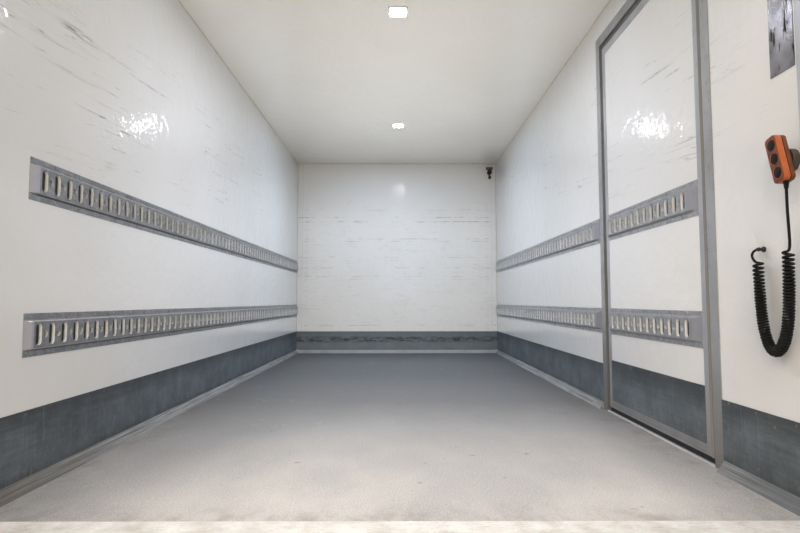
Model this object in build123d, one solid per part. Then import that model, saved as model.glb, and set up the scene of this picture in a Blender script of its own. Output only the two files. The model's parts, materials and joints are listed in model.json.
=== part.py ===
from build123d import *
import math
import os

# Insulated load box of a refrigerated truck, in millimetres.
# +X is the right side, +Y the front (bulkhead) end and +Z is up. The origin lies on the ground,
# under the middle of the box with its rear doors open straight out to the sides.
# Inside places are given as a depth behind the bulkhead face and a height above the floor.

# Driving dimensions of the load space and its insulated panels
LOAD_WIDTH = 2175.0
LOAD_HEIGHT = 2070.0
LOAD_LENGTH = 4507.0
SIDE_WALL = 60.0
FRONT_WALL = 60.0
ROOF = 70.0
FLOOR = 80.0
PANEL_CORNER_RADIUS = 27.0
TRIM = 3.0
EDGE_LEG = 67.0

# Rear frame, sill and doors
REAR_FRAME_FACE = 43.0
REBATE_STEP = 20.0
REAR_DOOR_THICKNESS = 60.0
REAR_DOOR_GAP = 7.5
REAR_DOOR_STAND_PROUD = 6.0
REBATE_CLEARANCE = 8.0
REAR_PIN_OUTBOARD = 14.5
EDGE_FRAME_WIDTH = 40.0
SEAL = 3.0
SEAL_WIDTH = 30.0
PANEL_RECESS = 1.5

# Side door in the right wall: its frame's outer size and place, then the leaf's gaps
DOORWAY_LENGTH = 1045.0
DOORWAY_FROM_REAR = 397.0
DOORWAY_BELOW_ROOF = 113.0
DOOR_FRAME_WIDTH = 49.0
SIDE_DOOR_GAP = 8.0
SIDE_DOOR_REAR_GAP = 9.5
SIDE_DOOR_TOP_GAP = 10.0
SIDE_DOOR_BOTTOM_GAP = 23.0
SIDE_STILE = 48.0
SIDE_TOP_RAIL = 58.0
SIDE_BOTTOM_RAIL = 40.0
SIDE_PIN_AHEAD = 13.0

# Hinges and lock rods, the same on all three doors
HINGES_A_LEAF = 3
HINGE_FROM_FOOT = 190.0
HINGE_FROM_TOP = 190.0
PIN_RADIUS = 8.0
PIN_CLEARANCE = 0.1
EYE_WALL = 4.0
EYE_OFF_REAR_LEAF = 2.0
EYE_OFF_SIDE_LEAF = 5.0
STRAP_THICKNESS = 8.0
STRAP_HEIGHT = 50.0
STRAP_REACH = 260.0
EYE_GAP = 1.0
EYE_HEIGHT = 28.0
ROD_RADIUS = 13.5
ROD_STANDOFF = 22.0
ROD_FROM_EDGE = 92.0
ROD_ABOVE = 42.0
REAR_ROD_BELOW = 48.0
SIDE_ROD_BELOW = 84.0
GUIDE_GAP = 0.3
HANDLE_HEIGHT = 330.0
HANDLE_LENGTH = 360.0

# Lashing rails, kick plates and coves
RAIL_HEIGHT = 130.0
RAIL_FLANGE = 17.0
RAIL_PROUD = 13.0
RAIL_SHEET = 2.5
RAIL_LEVELS = (391.8, 863.8)
SLOT_PITCH = 63.5
SLOT_WIDTH = 22.0
SLOT_HEIGHT = 63.0
LEFT_RAIL_FROM_REAR = 195.0
LEFT_END_PLATE = 53.0
RIGHT_RAIL_FROM_DOORWAY = 7.0
RIGHT_END_PLATE = 91.0
DOOR_RAIL_MARGIN = 4.0
DOOR_END_PLATE = 78.0
KICK_SHEET = 3.0
KICK_TOP = 234.0
COVE_TOP = 37.0
COVE_REACH = 27.0
DOOR_KICK_TOP = 262.0

# Small fittings inside
LAMP_SIZE = 100.0
LAMP_DROP = 9.0
LAMP_FROM_ENDS = (1326.0, 1334.0)
LAMP_X = 17.0
SENSOR_FROM_WALL = 71.5
WEAR_PLATE_WIDTH = 95.0
WEAR_PLATE_FROM_REAR = 4.0
WEAR_PLATE_HEIGHTS = (1192.0, 1680.0)

# Hand control on a curly cord beside the rear frame. Its places, and the cord's points, are given
# as the distance off the right wall, ahead of the rear frame and above the floor.
HANDSET_CENTRE = (43.5, 11.0, 937.0)
HANDSET_LEAN = 15.0
HANDSET_LENGTH = 124.0
HANDSET_WIDTH = 53.0
HANDSET_THICKNESS = 33.0
RELIEF_HEIGHT = 30.0
HOLDER_AHEAD = 32.0
HOLDER_RADIUS = 32.0
HOLDER_THICKNESS = 17.0
GLAND_LENGTH = 22.0
CORD_RADIUS = 3.75
COIL_RADIUS = 16.5
CORD_SIDES = 10
STRAIGHT_POINTS = (
    (43.5, -2.0, 854.0),
    (42.5, 0.0, 800.0),
    (34.5, 8.0, 746.0),
    (25.5, 19.0, 691.0),
)
COIL_POINTS = (
    (24.5, 29.0, 691.0),
    (24.5, 30.0, 580.0),
    (24.5, 43.0, 474.0),
    (24.5, 75.0, 418.0),
    (24.5, 111.0, 416.0),
    (24.5, 140.0, 472.0),
    (24.5, 151.0, 570.0),
    (24.5, 153.0, 670.0),
)
TAIL_POINTS = (
    (23.5, 164.0, 670.0),
    (21.5, 178.0, 679.0),
    (19.5, 188.0, 692.0),
    (17.5, 181.0, 706.0),
    (16.5, 165.0, 708.0),
)

# Subframe that the box stands on
RUNNER_HEIGHT = 120.0
RUNNER_WIDTH = 60.0
RUNNER_WALL = 6.0
RUNNER_SPACING = 800.0
CROSS_HEIGHT = 50.0
CROSS_WIDTH = 70.0
CROSS_WALL = 5.0
CROSS_PITCH = 490.0
CROSS_START = 20.0
BRACKETS_A_SIDE = 4
BRACKET_FROM_ENDS = (350.0, 407.0)
BRACKET_LENGTH = 160.0
BRACKET_REACH = 75.0
BRACKET_SHEET = 10.0
BRACKET_HOLE_RADIUS = 8.5
BRACKET_HOLE_SPACING = 100.0

# Marker lamps
MARKER_DEPTH = 16.0
MARKER_LENGTH = 100.0
SIDE_MARKERS = 3
SIDE_MARKER_FROM_ENDS = (500.0, 257.0)

# Worked out from the driving dimensions
INNER = LOAD_WIDTH / 2
OUTER = INNER + SIDE_WALL
SKIN = OUTER + TRIM
FLOOR_Z = RUNNER_HEIGHT + CROSS_HEIGHT + FLOOR
ROOF_TOP = LOAD_HEIGHT + ROOF
REBATE_DEPTH = REAR_DOOR_THICKNESS - REAR_DOOR_STAND_PROUD + REBATE_CLEARANCE
REAR_FACE = LOAD_LENGTH + REAR_FRAME_FACE + REBATE_DEPTH
DOOR_FACE = REAR_FACE + REAR_DOOR_STAND_PROUD
DOOR_INSIDE = DOOR_FACE - REAR_DOOR_THICKNESS
EYE_RADIUS = PIN_RADIUS + EYE_WALL
REAR_PIN_BEHIND = EYE_RADIUS + EYE_OFF_REAR_LEAF
REAR_PIN_X = SKIN + REAR_PIN_OUTBOARD
REAR_PIN_DEPTH = DOOR_FACE + REAR_PIN_BEHIND
LEAF_EDGE = INNER + REBATE_STEP - REAR_DOOR_GAP
FRONT_REACH = FRONT_WALL + TRIM + MARKER_DEPTH
REAR_REACH = 2 * REAR_PIN_DEPTH - DOOR_INSIDE
BULKHEAD_Y = (REAR_REACH - FRONT_REACH) / 2
DOORWAY_REAR = LOAD_LENGTH - DOORWAY_FROM_REAR
DOORWAY_FRONT = DOORWAY_REAR - DOORWAY_LENGTH
DOORWAY_TOP = LOAD_HEIGHT - DOORWAY_BELOW_ROOF
LEAF_FRONT = DOORWAY_FRONT + DOOR_FRAME_WIDTH + SIDE_DOOR_GAP
LEAF_REAR = DOORWAY_REAR - DOOR_FRAME_WIDTH - SIDE_DOOR_REAR_GAP
LEAF_TOP = DOORWAY_TOP - DOOR_FRAME_WIDTH - SIDE_DOOR_TOP_GAP
LEAF_LOW = SIDE_DOOR_BOTTOM_GAP
LEAF_IN = INNER + TRIM
DOOR_PANEL_IN = LEAF_IN + PANEL_RECESS
REAR_LEAF_TOP = LOAD_HEIGHT + REBATE_STEP - REAR_DOOR_GAP
REAR_ROD_X = REAR_DOOR_GAP / 2 + ROD_FROM_EDGE
SIDE_PIN_OUTBOARD = EYE_RADIUS + EYE_OFF_SIDE_LEAF
SIDE_PIN_X = SKIN + SIDE_PIN_OUTBOARD
SIDE_PIN_DEPTH = LEAF_FRONT - SIDE_PIN_AHEAD
LEFT_RAIL_END = LOAD_LENGTH - LEFT_RAIL_FROM_REAR
RIGHT_RAIL_END = DOORWAY_FRONT - RIGHT_RAIL_FROM_DOORWAY


def spread(count, first, last):
    """Evenly spaced places from the first to the last."""
    return [first + i * (last - first) / (count - 1) for i in range(count)]


REAR_HINGE_HEIGHTS = spread(HINGES_A_LEAF, HINGE_FROM_FOOT, REAR_LEAF_TOP - HINGE_FROM_TOP)
SIDE_HINGE_HEIGHTS = spread(HINGES_A_LEAF, HINGE_FROM_FOOT, LEAF_TOP - HINGE_FROM_TOP)
BRACKET_DEPTHS = spread(BRACKETS_A_SIDE, BRACKET_FROM_ENDS[0], LOAD_LENGTH - BRACKET_FROM_ENDS[1])
SIDE_MARKER_LAST = LOAD_LENGTH - SIDE_MARKER_FROM_ENDS[1]
SIDE_MARKER_DEPTHS = spread(SIDE_MARKERS, SIDE_MARKER_FROM_ENDS[0], SIDE_MARKER_LAST)
LAMP_DEPTHS = (LAMP_FROM_ENDS[0], LOAD_LENGTH - LAMP_FROM_ENDS[1])


def block(x, depth, z):
    """Box from its X range, its depths behind the bulkhead and its heights above the floor."""
    centre = Pos(sum(x) / 2, BULKHEAD_Y - sum(depth) / 2, FLOOR_Z + sum(z) / 2)
    return centre * Box(abs(x[1] - x[0]), abs(depth[1] - depth[0]), abs(z[1] - z[0]))


def along_depth(section, depth0, depth1):
    """Extrudes an (x, height) section towards the rear between two depths."""
    start = Plane((0, BULKHEAD_Y - depth0, FLOOR_Z), x_dir=(1, 0, 0), z_dir=(0, -1, 0))
    return extrude(start * section, depth1 - depth0)


def along_height(section, z0, z1):
    """Extrudes an (x, -depth) section upwards between two heights."""
    return extrude(Pos(0, BULKHEAD_Y, FLOOR_Z + z0) * section, z1 - z0)


def along_width(section, x0, x1):
    """Extrudes a (-depth, height) section across the box between two X places."""
    start = Plane((x0, BULKHEAD_Y, FLOOR_Z), x_dir=(0, 1, 0), z_dir=(1, 0, 0))
    return extrude(start * section, x1 - x0)


def outline(*points):
    """Closed straight-sided section through the points."""
    return make_face(Polyline(*points, close=True))


def mirrored(shape):
    """The same piece on the other side of the box."""
    return mirror(shape, Plane.YZ)


def both_sides(shape):
    """A right-hand piece together with its left-hand twin."""
    return [shape, mirrored(shape)]


def rounded_case(grow, z0, z1, depth1, round_top):
    """Outer form of the box, grown past the panels, with its front corners rounded."""
    radius = PANEL_CORNER_RADIUS + grow
    case = block((-OUTER - grow, OUTER + grow), (-FRONT_WALL - grow, depth1), (z0, z1))
    front = case.edges().filter_by(Axis.Z).sort_by(Axis.Y)[-2:]
    case = fillet(front, radius)
    if round_top:
        top = case.edges().group_by(Axis.Z)[-1]
        rear_y = BULKHEAD_Y - depth1
        case = fillet([e for e in top if e.center().Y > rear_y + 1], radius)
    return case


# Insulated panels
def floor_panel():
    return block((-INNER, INNER), (0, LOAD_LENGTH), (-FLOOR, 0))


def side_wall():
    return block((INNER, OUTER), (0, LOAD_LENGTH), (-FLOOR, LOAD_HEIGHT))


def right_wall():
    doorway = block((INNER - 1, OUTER + 1), (DOORWAY_FRONT, DOORWAY_REAR), (-FLOOR - 1, DOORWAY_TOP))
    return side_wall() - doorway


def front_wall():
    case = rounded_case(0, -FLOOR, LOAD_HEIGHT, LOAD_LENGTH, False)
    return case & block((-OUTER, OUTER), (-FRONT_WALL, 0), (-FLOOR, LOAD_HEIGHT))


def roof_panel():
    """Its upper edges are bevelled inside the rounded edge profiles."""
    panel = rounded_case(0, LOAD_HEIGHT, ROOF_TOP, LOAD_LENGTH, False)
    top = panel.edges().group_by(Axis.Z)[-1]
    rear_y = BULKHEAD_Y - LOAD_LENGTH
    return chamfer([e for e in top if e.center().Y > rear_y + 1], 0.8 * PANEL_CORNER_RADIUS)


# Aluminium profiles that join the panels outside
def inside_legs(depth, z):
    """The middle of the box that the profiles' legs leave open."""
    return block((EDGE_LEG - OUTER, OUTER - EDGE_LEG), depth, z)


def roof_edge_profiles():
    shell = rounded_case(TRIM, LOAD_HEIGHT, ROOF_TOP + TRIM, LOAD_LENGTH, True) - roof_panel()
    return shell - inside_legs((EDGE_LEG - FRONT_WALL, LOAD_LENGTH), (ROOF_TOP - 1, ROOF_TOP + TRIM))


def floor_edge_profiles():
    low = -FLOOR - TRIM
    high = low + EDGE_LEG
    shell = rounded_case(TRIM, low, high, LOAD_LENGTH, False)
    shell -= rounded_case(0, -FLOOR, high, LOAD_LENGTH, False)
    return shell - inside_legs((EDGE_LEG - FRONT_WALL, LOAD_LENGTH), (low, -FLOOR))


def front_corner_profiles():
    low = EDGE_LEG - FLOOR - TRIM
    shell = rounded_case(TRIM, low, LOAD_HEIGHT, EDGE_LEG, False)
    shell -= rounded_case(0, low, LOAD_HEIGHT, EDGE_LEG, False)
    return shell - inside_legs((-FRONT_WALL - TRIM, EDGE_LEG), (low, LOAD_HEIGHT))


# Rear frame, sill and side door frame
def rear_frame():
    step = REAR_FACE - REBATE_DEPTH
    rebate = INNER + REBATE_STEP
    post_section = outline(
        (INNER, -LOAD_LENGTH),
        (SKIN, -LOAD_LENGTH),
        (SKIN, -REAR_FACE),
        (rebate, -REAR_FACE),
        (rebate, -step),
        (INNER, -step),
    )
    post = along_height(post_section, -FLOOR - TRIM, ROOF_TOP + TRIM)
    head_section = outline(
        (-LOAD_LENGTH, LOAD_HEIGHT),
        (-LOAD_LENGTH, ROOF_TOP + TRIM),
        (-REAR_FACE, ROOF_TOP + TRIM),
        (-REAR_FACE, LOAD_HEIGHT + REBATE_STEP),
        (-step, LOAD_HEIGHT + REBATE_STEP),
        (-step, LOAD_HEIGHT),
    )
    head = along_width(head_section, -rebate - 1, rebate + 1)
    frame = head + post + mirrored(post)
    rain_ledge = block((-INNER, INNER), (REAR_FACE, REAR_FACE + TRIM), (ROOF_TOP - 6, ROOF_TOP + TRIM))
    return frame + rain_ledge


def rear_sill():
    nose = 6.0
    section = outline(
        (-LOAD_LENGTH, -FLOOR),
        (-LOAD_LENGTH, 0),
        (nose - REAR_FACE, 0),
        (-REAR_FACE, -nose),
        (-REAR_FACE, -FLOOR),
    )
    return along_width(section, -INNER, INNER)


def side_door_frame():
    front = DOORWAY_FRONT + DOOR_FRAME_WIDTH
    rear = DOORWAY_REAR - DOOR_FRAME_WIDTH
    top = DOORWAY_TOP - DOOR_FRAME_WIDTH
    ring = block((INNER, SKIN), (DOORWAY_FRONT, DOORWAY_REAR), (-FLOOR, DOORWAY_TOP))
    architrave = block((INNER - TRIM, INNER), (DOORWAY_FRONT, DOORWAY_REAR), (0, DOORWAY_TOP))
    clear = block((INNER - TRIM, SKIN), (front, rear), (0, top))
    skirt = block((OUTER, SKIN), (DOORWAY_FRONT, DOORWAY_REAR), (-FLOOR, EDGE_LEG - FLOOR - TRIM))
    return ring + architrave - clear - skirt


# Lashing rails: a pressed hat section with upright slots and a ramped plate at its rear end
def lashing_rail(face, depth0, depth1, end_plate, low):
    """Rail proud of an inner face at X = face, towards the middle of the box."""
    inner_step = RAIL_SHEET * 0.6
    slope = (RAIL_PROUD - RAIL_SHEET) * 0.6
    top = RAIL_HEIGHT
    hat = [
        (0, 0),
        (RAIL_SHEET, 0),
        (RAIL_SHEET, RAIL_FLANGE),
        (RAIL_PROUD, RAIL_FLANGE + slope),
        (RAIL_PROUD, top - RAIL_FLANGE - slope),
        (RAIL_SHEET, top - RAIL_FLANGE),
        (RAIL_SHEET, top),
        (0, top),
        (0, top - RAIL_FLANGE - inner_step),
        (RAIL_PROUD - RAIL_SHEET, top - RAIL_FLANGE - slope - inner_step),
        (RAIL_PROUD - RAIL_SHEET, RAIL_FLANGE + slope + inner_step),
        (0, RAIL_FLANGE + inner_step),
    ]
    section = outline(*[(face - proud, low + height) for proud, height in hat])
    slotted_end = depth1 - end_plate
    rail = along_depth(section, depth0, slotted_end)
    last = slotted_end - 0.35 * SLOT_PITCH
    count = int((last - depth0 - SLOT_WIDTH) // SLOT_PITCH) + 1
    middle = low + RAIL_HEIGHT / 2
    slots = [
        block(
            (face - RAIL_PROUD - 1, face - RAIL_SHEET - 1),
            (last - i * SLOT_PITCH - SLOT_WIDTH / 2, last - i * SLOT_PITCH + SLOT_WIDTH / 2),
            (middle - SLOT_HEIGHT / 2, middle + SLOT_HEIGHT / 2),
        )
        for i in range(count)
    ]
    rail = rail - slots
    ramp = outline(
        (face, -slotted_end),
        (face - RAIL_PROUD, -slotted_end),
        (face - RAIL_PROUD, -slotted_end - 0.3 * end_plate),
        (face - RAIL_SHEET, -depth1),
        (face, -depth1),
    )
    return rail + along_height(ramp, low, low + RAIL_HEIGHT)


def wall_rails(depth1, end_plate):
    return [lashing_rail(INNER, KICK_SHEET, depth1, end_plate, low) for low in RAIL_LEVELS]


def left_lashing_rails():
    return [mirrored(rail) for rail in wall_rails(LEFT_RAIL_END, LEFT_END_PLATE)]


def right_lashing_rails():
    return wall_rails(RIGHT_RAIL_END, RIGHT_END_PLATE)


# Galvanised kick plates round the foot of the walls
def kick_plates():
    gap = 0.5
    face = (INNER - KICK_SHEET, INNER)
    height = (COVE_TOP, KICK_TOP)
    left = mirrored(block(face, (0, LOAD_LENGTH), height))
    right_front = block(face, (0, DOORWAY_FRONT), height)
    right_rear = block(face, (DOORWAY_REAR, LOAD_LENGTH), height)
    across = INNER - KICK_SHEET - gap
    front = block((-across, across), (0, KICK_SHEET), height)
    return [left, right_front, right_rear, front]


# Ribbed aluminium coves where the floor meets the walls
def floor_coves():
    ribs = [
        (0, 0),
        (0, COVE_TOP),
        (KICK_SHEET, COVE_TOP),
        (0.22 * COVE_REACH, 0.74 * COVE_TOP),
        (0.42 * COVE_REACH, 0.66 * COVE_TOP),
        (0.52 * COVE_REACH, 0.42 * COVE_TOP),
        (0.8 * COVE_REACH, 0.32 * COVE_TOP),
        (COVE_REACH, 0),
    ]
    side = outline(*[(INNER - reach, height) for reach, height in ribs])
    across = INNER - COVE_REACH - 0.5
    left = mirrored(along_depth(side, 0, LOAD_LENGTH))
    right_front = along_depth(side, 0, DOORWAY_FRONT)
    right_rear = along_depth(side, DOORWAY_REAR, LOAD_LENGTH)
    front = block((-across, across), (0, 0.3 * COVE_REACH), (0, COVE_TOP))
    return [left, right_front, right_rear, front]


# Fittings inside
def ceiling_lamps():
    lamps = []
    for depth in LAMP_DEPTHS:
        x_range = (LAMP_X - LAMP_SIZE / 2, LAMP_X + LAMP_SIZE / 2)
        d_range = (depth - LAMP_SIZE / 2, depth + LAMP_SIZE / 2)
        lamp = block(x_range, d_range, (LOAD_HEIGHT - LAMP_DROP, LOAD_HEIGHT))
        lamps.append(fillet(lamp.edges().filter_by(Axis.Z), 14))
    return lamps


def along_bulkhead(radius, x, z, depth0, depth1):
    """Round boss standing off the bulkhead."""
    start = Plane((x, BULKHEAD_Y - depth0, FLOOR_Z + z), x_dir=(1, 0, 0), z_dir=(0, -1, 0))
    return extrude(start * Circle(radius), depth1 - depth0)


def temperature_sensor():
    """Bracket bar close under the roof with the round sensor body and its knob below it."""
    x = INNER - SENSOR_FROM_WALL
    bar_low = LOAD_HEIGHT - 70
    bar = block((x - 37, x + 35), (0, 34), (bar_low, bar_low + 25))
    web = block((x - 9, x + 9), (0, 8), (bar_low - 95, bar_low + 1))
    body = along_bulkhead(25, x, bar_low - 31, 0, 40)
    knob = along_bulkhead(15, x + 3, bar_low - 86, 0, 28)
    return bar + web + body + knob


def wear_plate():
    rear = LOAD_LENGTH - WEAR_PLATE_FROM_REAR
    return block((INNER - 2, INNER), (rear - WEAR_PLATE_WIDTH, rear), WEAR_PLATE_HEIGHTS)


def place(point):
    """Turns (x, depth, height) into a point of the model."""
    return Vector(point[0], BULKHEAD_Y - point[1], FLOOR_Z + point[2])


def beside_frame(point):
    """Turns (off the right wall, ahead of the rear frame, height) into (x, depth, height)."""
    return (INNER - point[0], LOAD_LENGTH - point[1], point[2])


def tube(points, radius, name):
    """Tube along straight runs joined by arcs as large as the runs allow."""
    nodes = [place(beside_frame(p)) for p in points]
    runs = [b - a for a, b in zip(nodes, nodes[1:])]
    radii = []
    for before, after in zip(runs, runs[1:]):
        half_turn = math.radians(before.get_angle(after)) / 2
        radii.append(0.45 * min(before.length, after.length) / math.tan(half_turn))
    path = FilletPolyline(*nodes, radius=radii)
    section = Plane(nodes[0], z_dir=runs[0]) * RegularPolygon(radius, CORD_SIDES)
    solid = sweep(section, path=path)
    share = solid.volume / (section.area * path.length)
    bends = [round(r) for r in radii]
    print(name, "length", round(path.length, 1), "radii", bends, "volume share", round(share, 4))
    return solid


# The handset's buttons face the middle of the box
def handset():
    body = Box(HANDSET_THICKNESS, HANDSET_WIDTH, HANDSET_LENGTH)
    body = fillet(body.edges().filter_by(Axis.Z), 7)
    body = chamfer(body.faces().sort_by(Axis.Z)[-1].edges(), 4)
    body = chamfer(body.faces().sort_by(Axis.Z)[0].edges(), 4)
    body = Pos(*place(beside_frame(HANDSET_CENTRE))) * Rot(X=-HANDSET_LEAN) * body
    relief = Cone(CORD_RADIUS + 1.5, 9, RELIEF_HEIGHT, align=(Align.CENTER, Align.CENTER, Align.MIN))
    return body + Pos(*place(beside_frame(STRAIGHT_POINTS[0]))) * relief


def handset_holder():
    wall = place(beside_frame((0, HOLDER_AHEAD, HANDSET_CENTRE[2])))
    back = HANDSET_CENTRE[0] - HANDSET_THICKNESS / 2
    start = Plane(wall, x_dir=(0, 1, 0), z_dir=(-1, 0, 0))
    disc = extrude(start * Circle(HOLDER_RADIUS), HOLDER_THICKNESS)
    disc = chamfer(disc.edges().sort_by(Axis.X)[0], 3)
    return disc + extrude(start * Circle(HOLDER_RADIUS * 0.5), back)


def cord_gland():
    x, depth, height = beside_frame(TAIL_POINTS[-1])
    clip = block((x - 8, INNER), (depth, depth + GLAND_LENGTH), (height - 10, height + 10))
    return chamfer(clip.edges().filter_by(Axis.Y).sort_by(Axis.X)[:2], 5)


# Subframe that carries the box: two runners, the cross members on them and bolt-down brackets
def subframe_runners():
    low = -FLOOR_Z
    high = low + RUNNER_HEIGHT
    outer_x = (RUNNER_SPACING + RUNNER_WIDTH) / 2
    inner_x = outer_x - RUNNER_WIDTH
    section = outline(
        (inner_x, low),
        (outer_x, low),
        (outer_x, high),
        (inner_x, high),
        (inner_x, high - RUNNER_WALL),
        (outer_x - RUNNER_WALL, high - RUNNER_WALL),
        (outer_x - RUNNER_WALL, low + RUNNER_WALL),
        (inner_x, low + RUNNER_WALL),
    )
    return both_sides(along_depth(section, -FRONT_WALL, REAR_FACE - 20))


def cross_members():
    low = -FLOOR - CROSS_HEIGHT
    half = OUTER - EDGE_LEG - 5
    front = -CROSS_START
    section = outline(
        (front, low),
        (front, -FLOOR),
        (front - CROSS_WIDTH, -FLOOR),
        (front - CROSS_WIDTH, -FLOOR - CROSS_WALL),
        (front - CROSS_WALL, -FLOOR - CROSS_WALL),
        (front - CROSS_WALL, low + CROSS_WALL),
        (front - CROSS_WIDTH, low + CROSS_WALL),
        (front - CROSS_WIDTH, low),
    )
    member = along_width(section, -half, half)
    count = int((LOAD_LENGTH - CROSS_START - CROSS_WIDTH) // CROSS_PITCH) + 1
    return [Pos(0, -i * CROSS_PITCH, 0) * member for i in range(count)]


def mounting_brackets():
    inner_x = (RUNNER_SPACING + RUNNER_WIDTH) / 2
    low = -FLOOR_Z
    high = low + 0.85 * RUNNER_HEIGHT
    pieces = []
    for depth in BRACKET_DEPTHS:
        length = (depth - BRACKET_LENGTH / 2, depth + BRACKET_LENGTH / 2)
        foot = block((inner_x, inner_x + BRACKET_REACH), length, (low, low + BRACKET_SHEET))
        back = block((inner_x, inner_x + BRACKET_SHEET), length, (low, high))
        rib = outline((inner_x, low), (inner_x + BRACKET_REACH, low), (inner_x, high))
        rib = along_depth(rib, depth - BRACKET_SHEET / 2, depth + BRACKET_SHEET / 2)
        bracket = foot + back + rib
        for offset in (-BRACKET_HOLE_SPACING / 2, BRACKET_HOLE_SPACING / 2):
            centre = place((inner_x + 0.6 * BRACKET_REACH, depth + offset, low))
            bracket -= Pos(*centre) * Cylinder(BRACKET_HOLE_RADIUS, 3 * BRACKET_SHEET)
        pieces += both_sides(bracket)
    return pieces


def dock_buffers():
    outer = INNER - 127.5
    buffer = block((outer - 120, outer), (REAR_FACE, REAR_FACE + 60), (-FLOOR + 4, -8))
    return both_sides(chamfer(buffer.faces().sort_by(Axis.Y)[0].edges(), 8))


# Outline marker lamps
def lamp_case(x, depth, z, outward):
    case = block(x, depth, z)
    return chamfer(case.faces().sort_by(outward)[-1].edges(), 5)


def front_marker_lamps():
    face = -FRONT_WALL - TRIM
    outer = OUTER - PANEL_CORNER_RADIUS - 30
    x = (outer - MARKER_LENGTH, outer)
    depth = (face - MARKER_DEPTH, face)
    return both_sides(lamp_case(x, depth, (LOAD_HEIGHT + 4, LOAD_HEIGHT + 36), Axis.Y))


def side_marker_lamps():
    low = -FLOOR + 8
    pieces = []
    for depth in SIDE_MARKER_DEPTHS:
        along = (depth - MARKER_LENGTH / 2, depth + MARKER_LENGTH / 2)
        pieces += both_sides(lamp_case((SKIN, SKIN + MARKER_DEPTH), along, (low, low + 36), Axis.X))
    return pieces


def rear_marker_lamps():
    x = (INNER + REBATE_STEP + 5, SKIN - 5)
    face = (REAR_FACE, REAR_FACE + MARKER_DEPTH)
    return both_sides(lamp_case(x, face, (LOAD_HEIGHT - 40, LOAD_HEIGHT + 50), -Axis.Y))


# Hinges are drawn about their pin: x runs along the closed leaf, y away from its outer face
def hinge_strap(leaf_edge, pin_off_face):
    face = -pin_off_face
    arm = outline(
        (0, -EYE_RADIUS),
        (leaf_edge, face),
        (STRAP_REACH, face),
        (STRAP_REACH, face + STRAP_THICKNESS),
        (leaf_edge + 6, face + STRAP_THICKNESS),
        (0, 0.6 * EYE_RADIUS),
    )
    section = arm + Circle(EYE_RADIUS) - Circle(PIN_RADIUS + PIN_CLEARANCE)
    return extrude(section, STRAP_HEIGHT / 2, both=True)


def hinge_bracket(ear, plate):
    """Flat-sided ears above and below the strap, the plate behind them and the pin between them."""
    ear_low = STRAP_HEIGHT / 2 + EYE_GAP
    half = ear_low + EYE_HEIGHT
    upper = Pos(0, 0, ear_low) * extrude(outline(*ear), EYE_HEIGHT)
    lower = Pos(0, 0, -half) * extrude(outline(*ear), EYE_HEIGHT)
    back = extrude(outline(*plate), half, both=True)
    return upper + lower + back + Cylinder(PIN_RADIUS, 2 * ear_low)


def at_rear_pin(shape, height):
    return Pos(REAR_PIN_X, BULKHEAD_Y - REAR_PIN_DEPTH, FLOOR_Z + height) * Rot(Z=180) * shape


def at_side_pin(shape, height):
    return Pos(SIDE_PIN_X, BULKHEAD_Y - SIDE_PIN_DEPTH, FLOOR_Z + height) * Rot(Z=-90) * shape


def rear_strap():
    return hinge_strap(REAR_PIN_X - LEAF_EDGE, REAR_PIN_BEHIND)


def side_strap():
    return hinge_strap(SIDE_PIN_AHEAD, SIDE_PIN_OUTBOARD)


def hinge_brackets():
    thick = 6.0
    post = REAR_PIN_OUTBOARD
    eye = EYE_RADIUS
    back = post - thick
    clear = REAR_PIN_BEHIND + STRAP_THICKNESS
    ear = [
        (post, -60),
        (post, 0.4 * eye),
        (0.5 * eye, eye),
        (-0.5 * eye, eye),
        (-eye, 0),
        (-eye, -0.5 * eye),
        (back, -60),
    ]
    plate = [(post, -100), (post, -clear), (back, -clear), (back, -100)]
    rear = hinge_bracket(ear, plate)
    jamb = -SIDE_PIN_OUTBOARD
    ahead = -DOOR_FRAME_WIDTH + SIDE_PIN_AHEAD
    side_ear = [
        (ahead, jamb),
        (3, jamb),
        (eye, -0.4 * eye),
        (eye, 0.5 * eye),
        (0.5 * eye, eye),
        (-0.5 * eye, eye),
        (-eye, 0.5 * eye),
        (ahead, jamb + thick),
    ]
    side_plate = [(ahead, jamb), (-eye - 2, jamb), (-eye - 2, jamb + thick), (ahead, jamb + thick)]
    side = hinge_bracket(side_ear, side_plate)
    pieces = [at_side_pin(side, height) for height in SIDE_HINGE_HEIGHTS]
    for height in REAR_HINGE_HEIGHTS:
        pieces += both_sides(at_rear_pin(rear, height))
    return pieces


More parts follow.
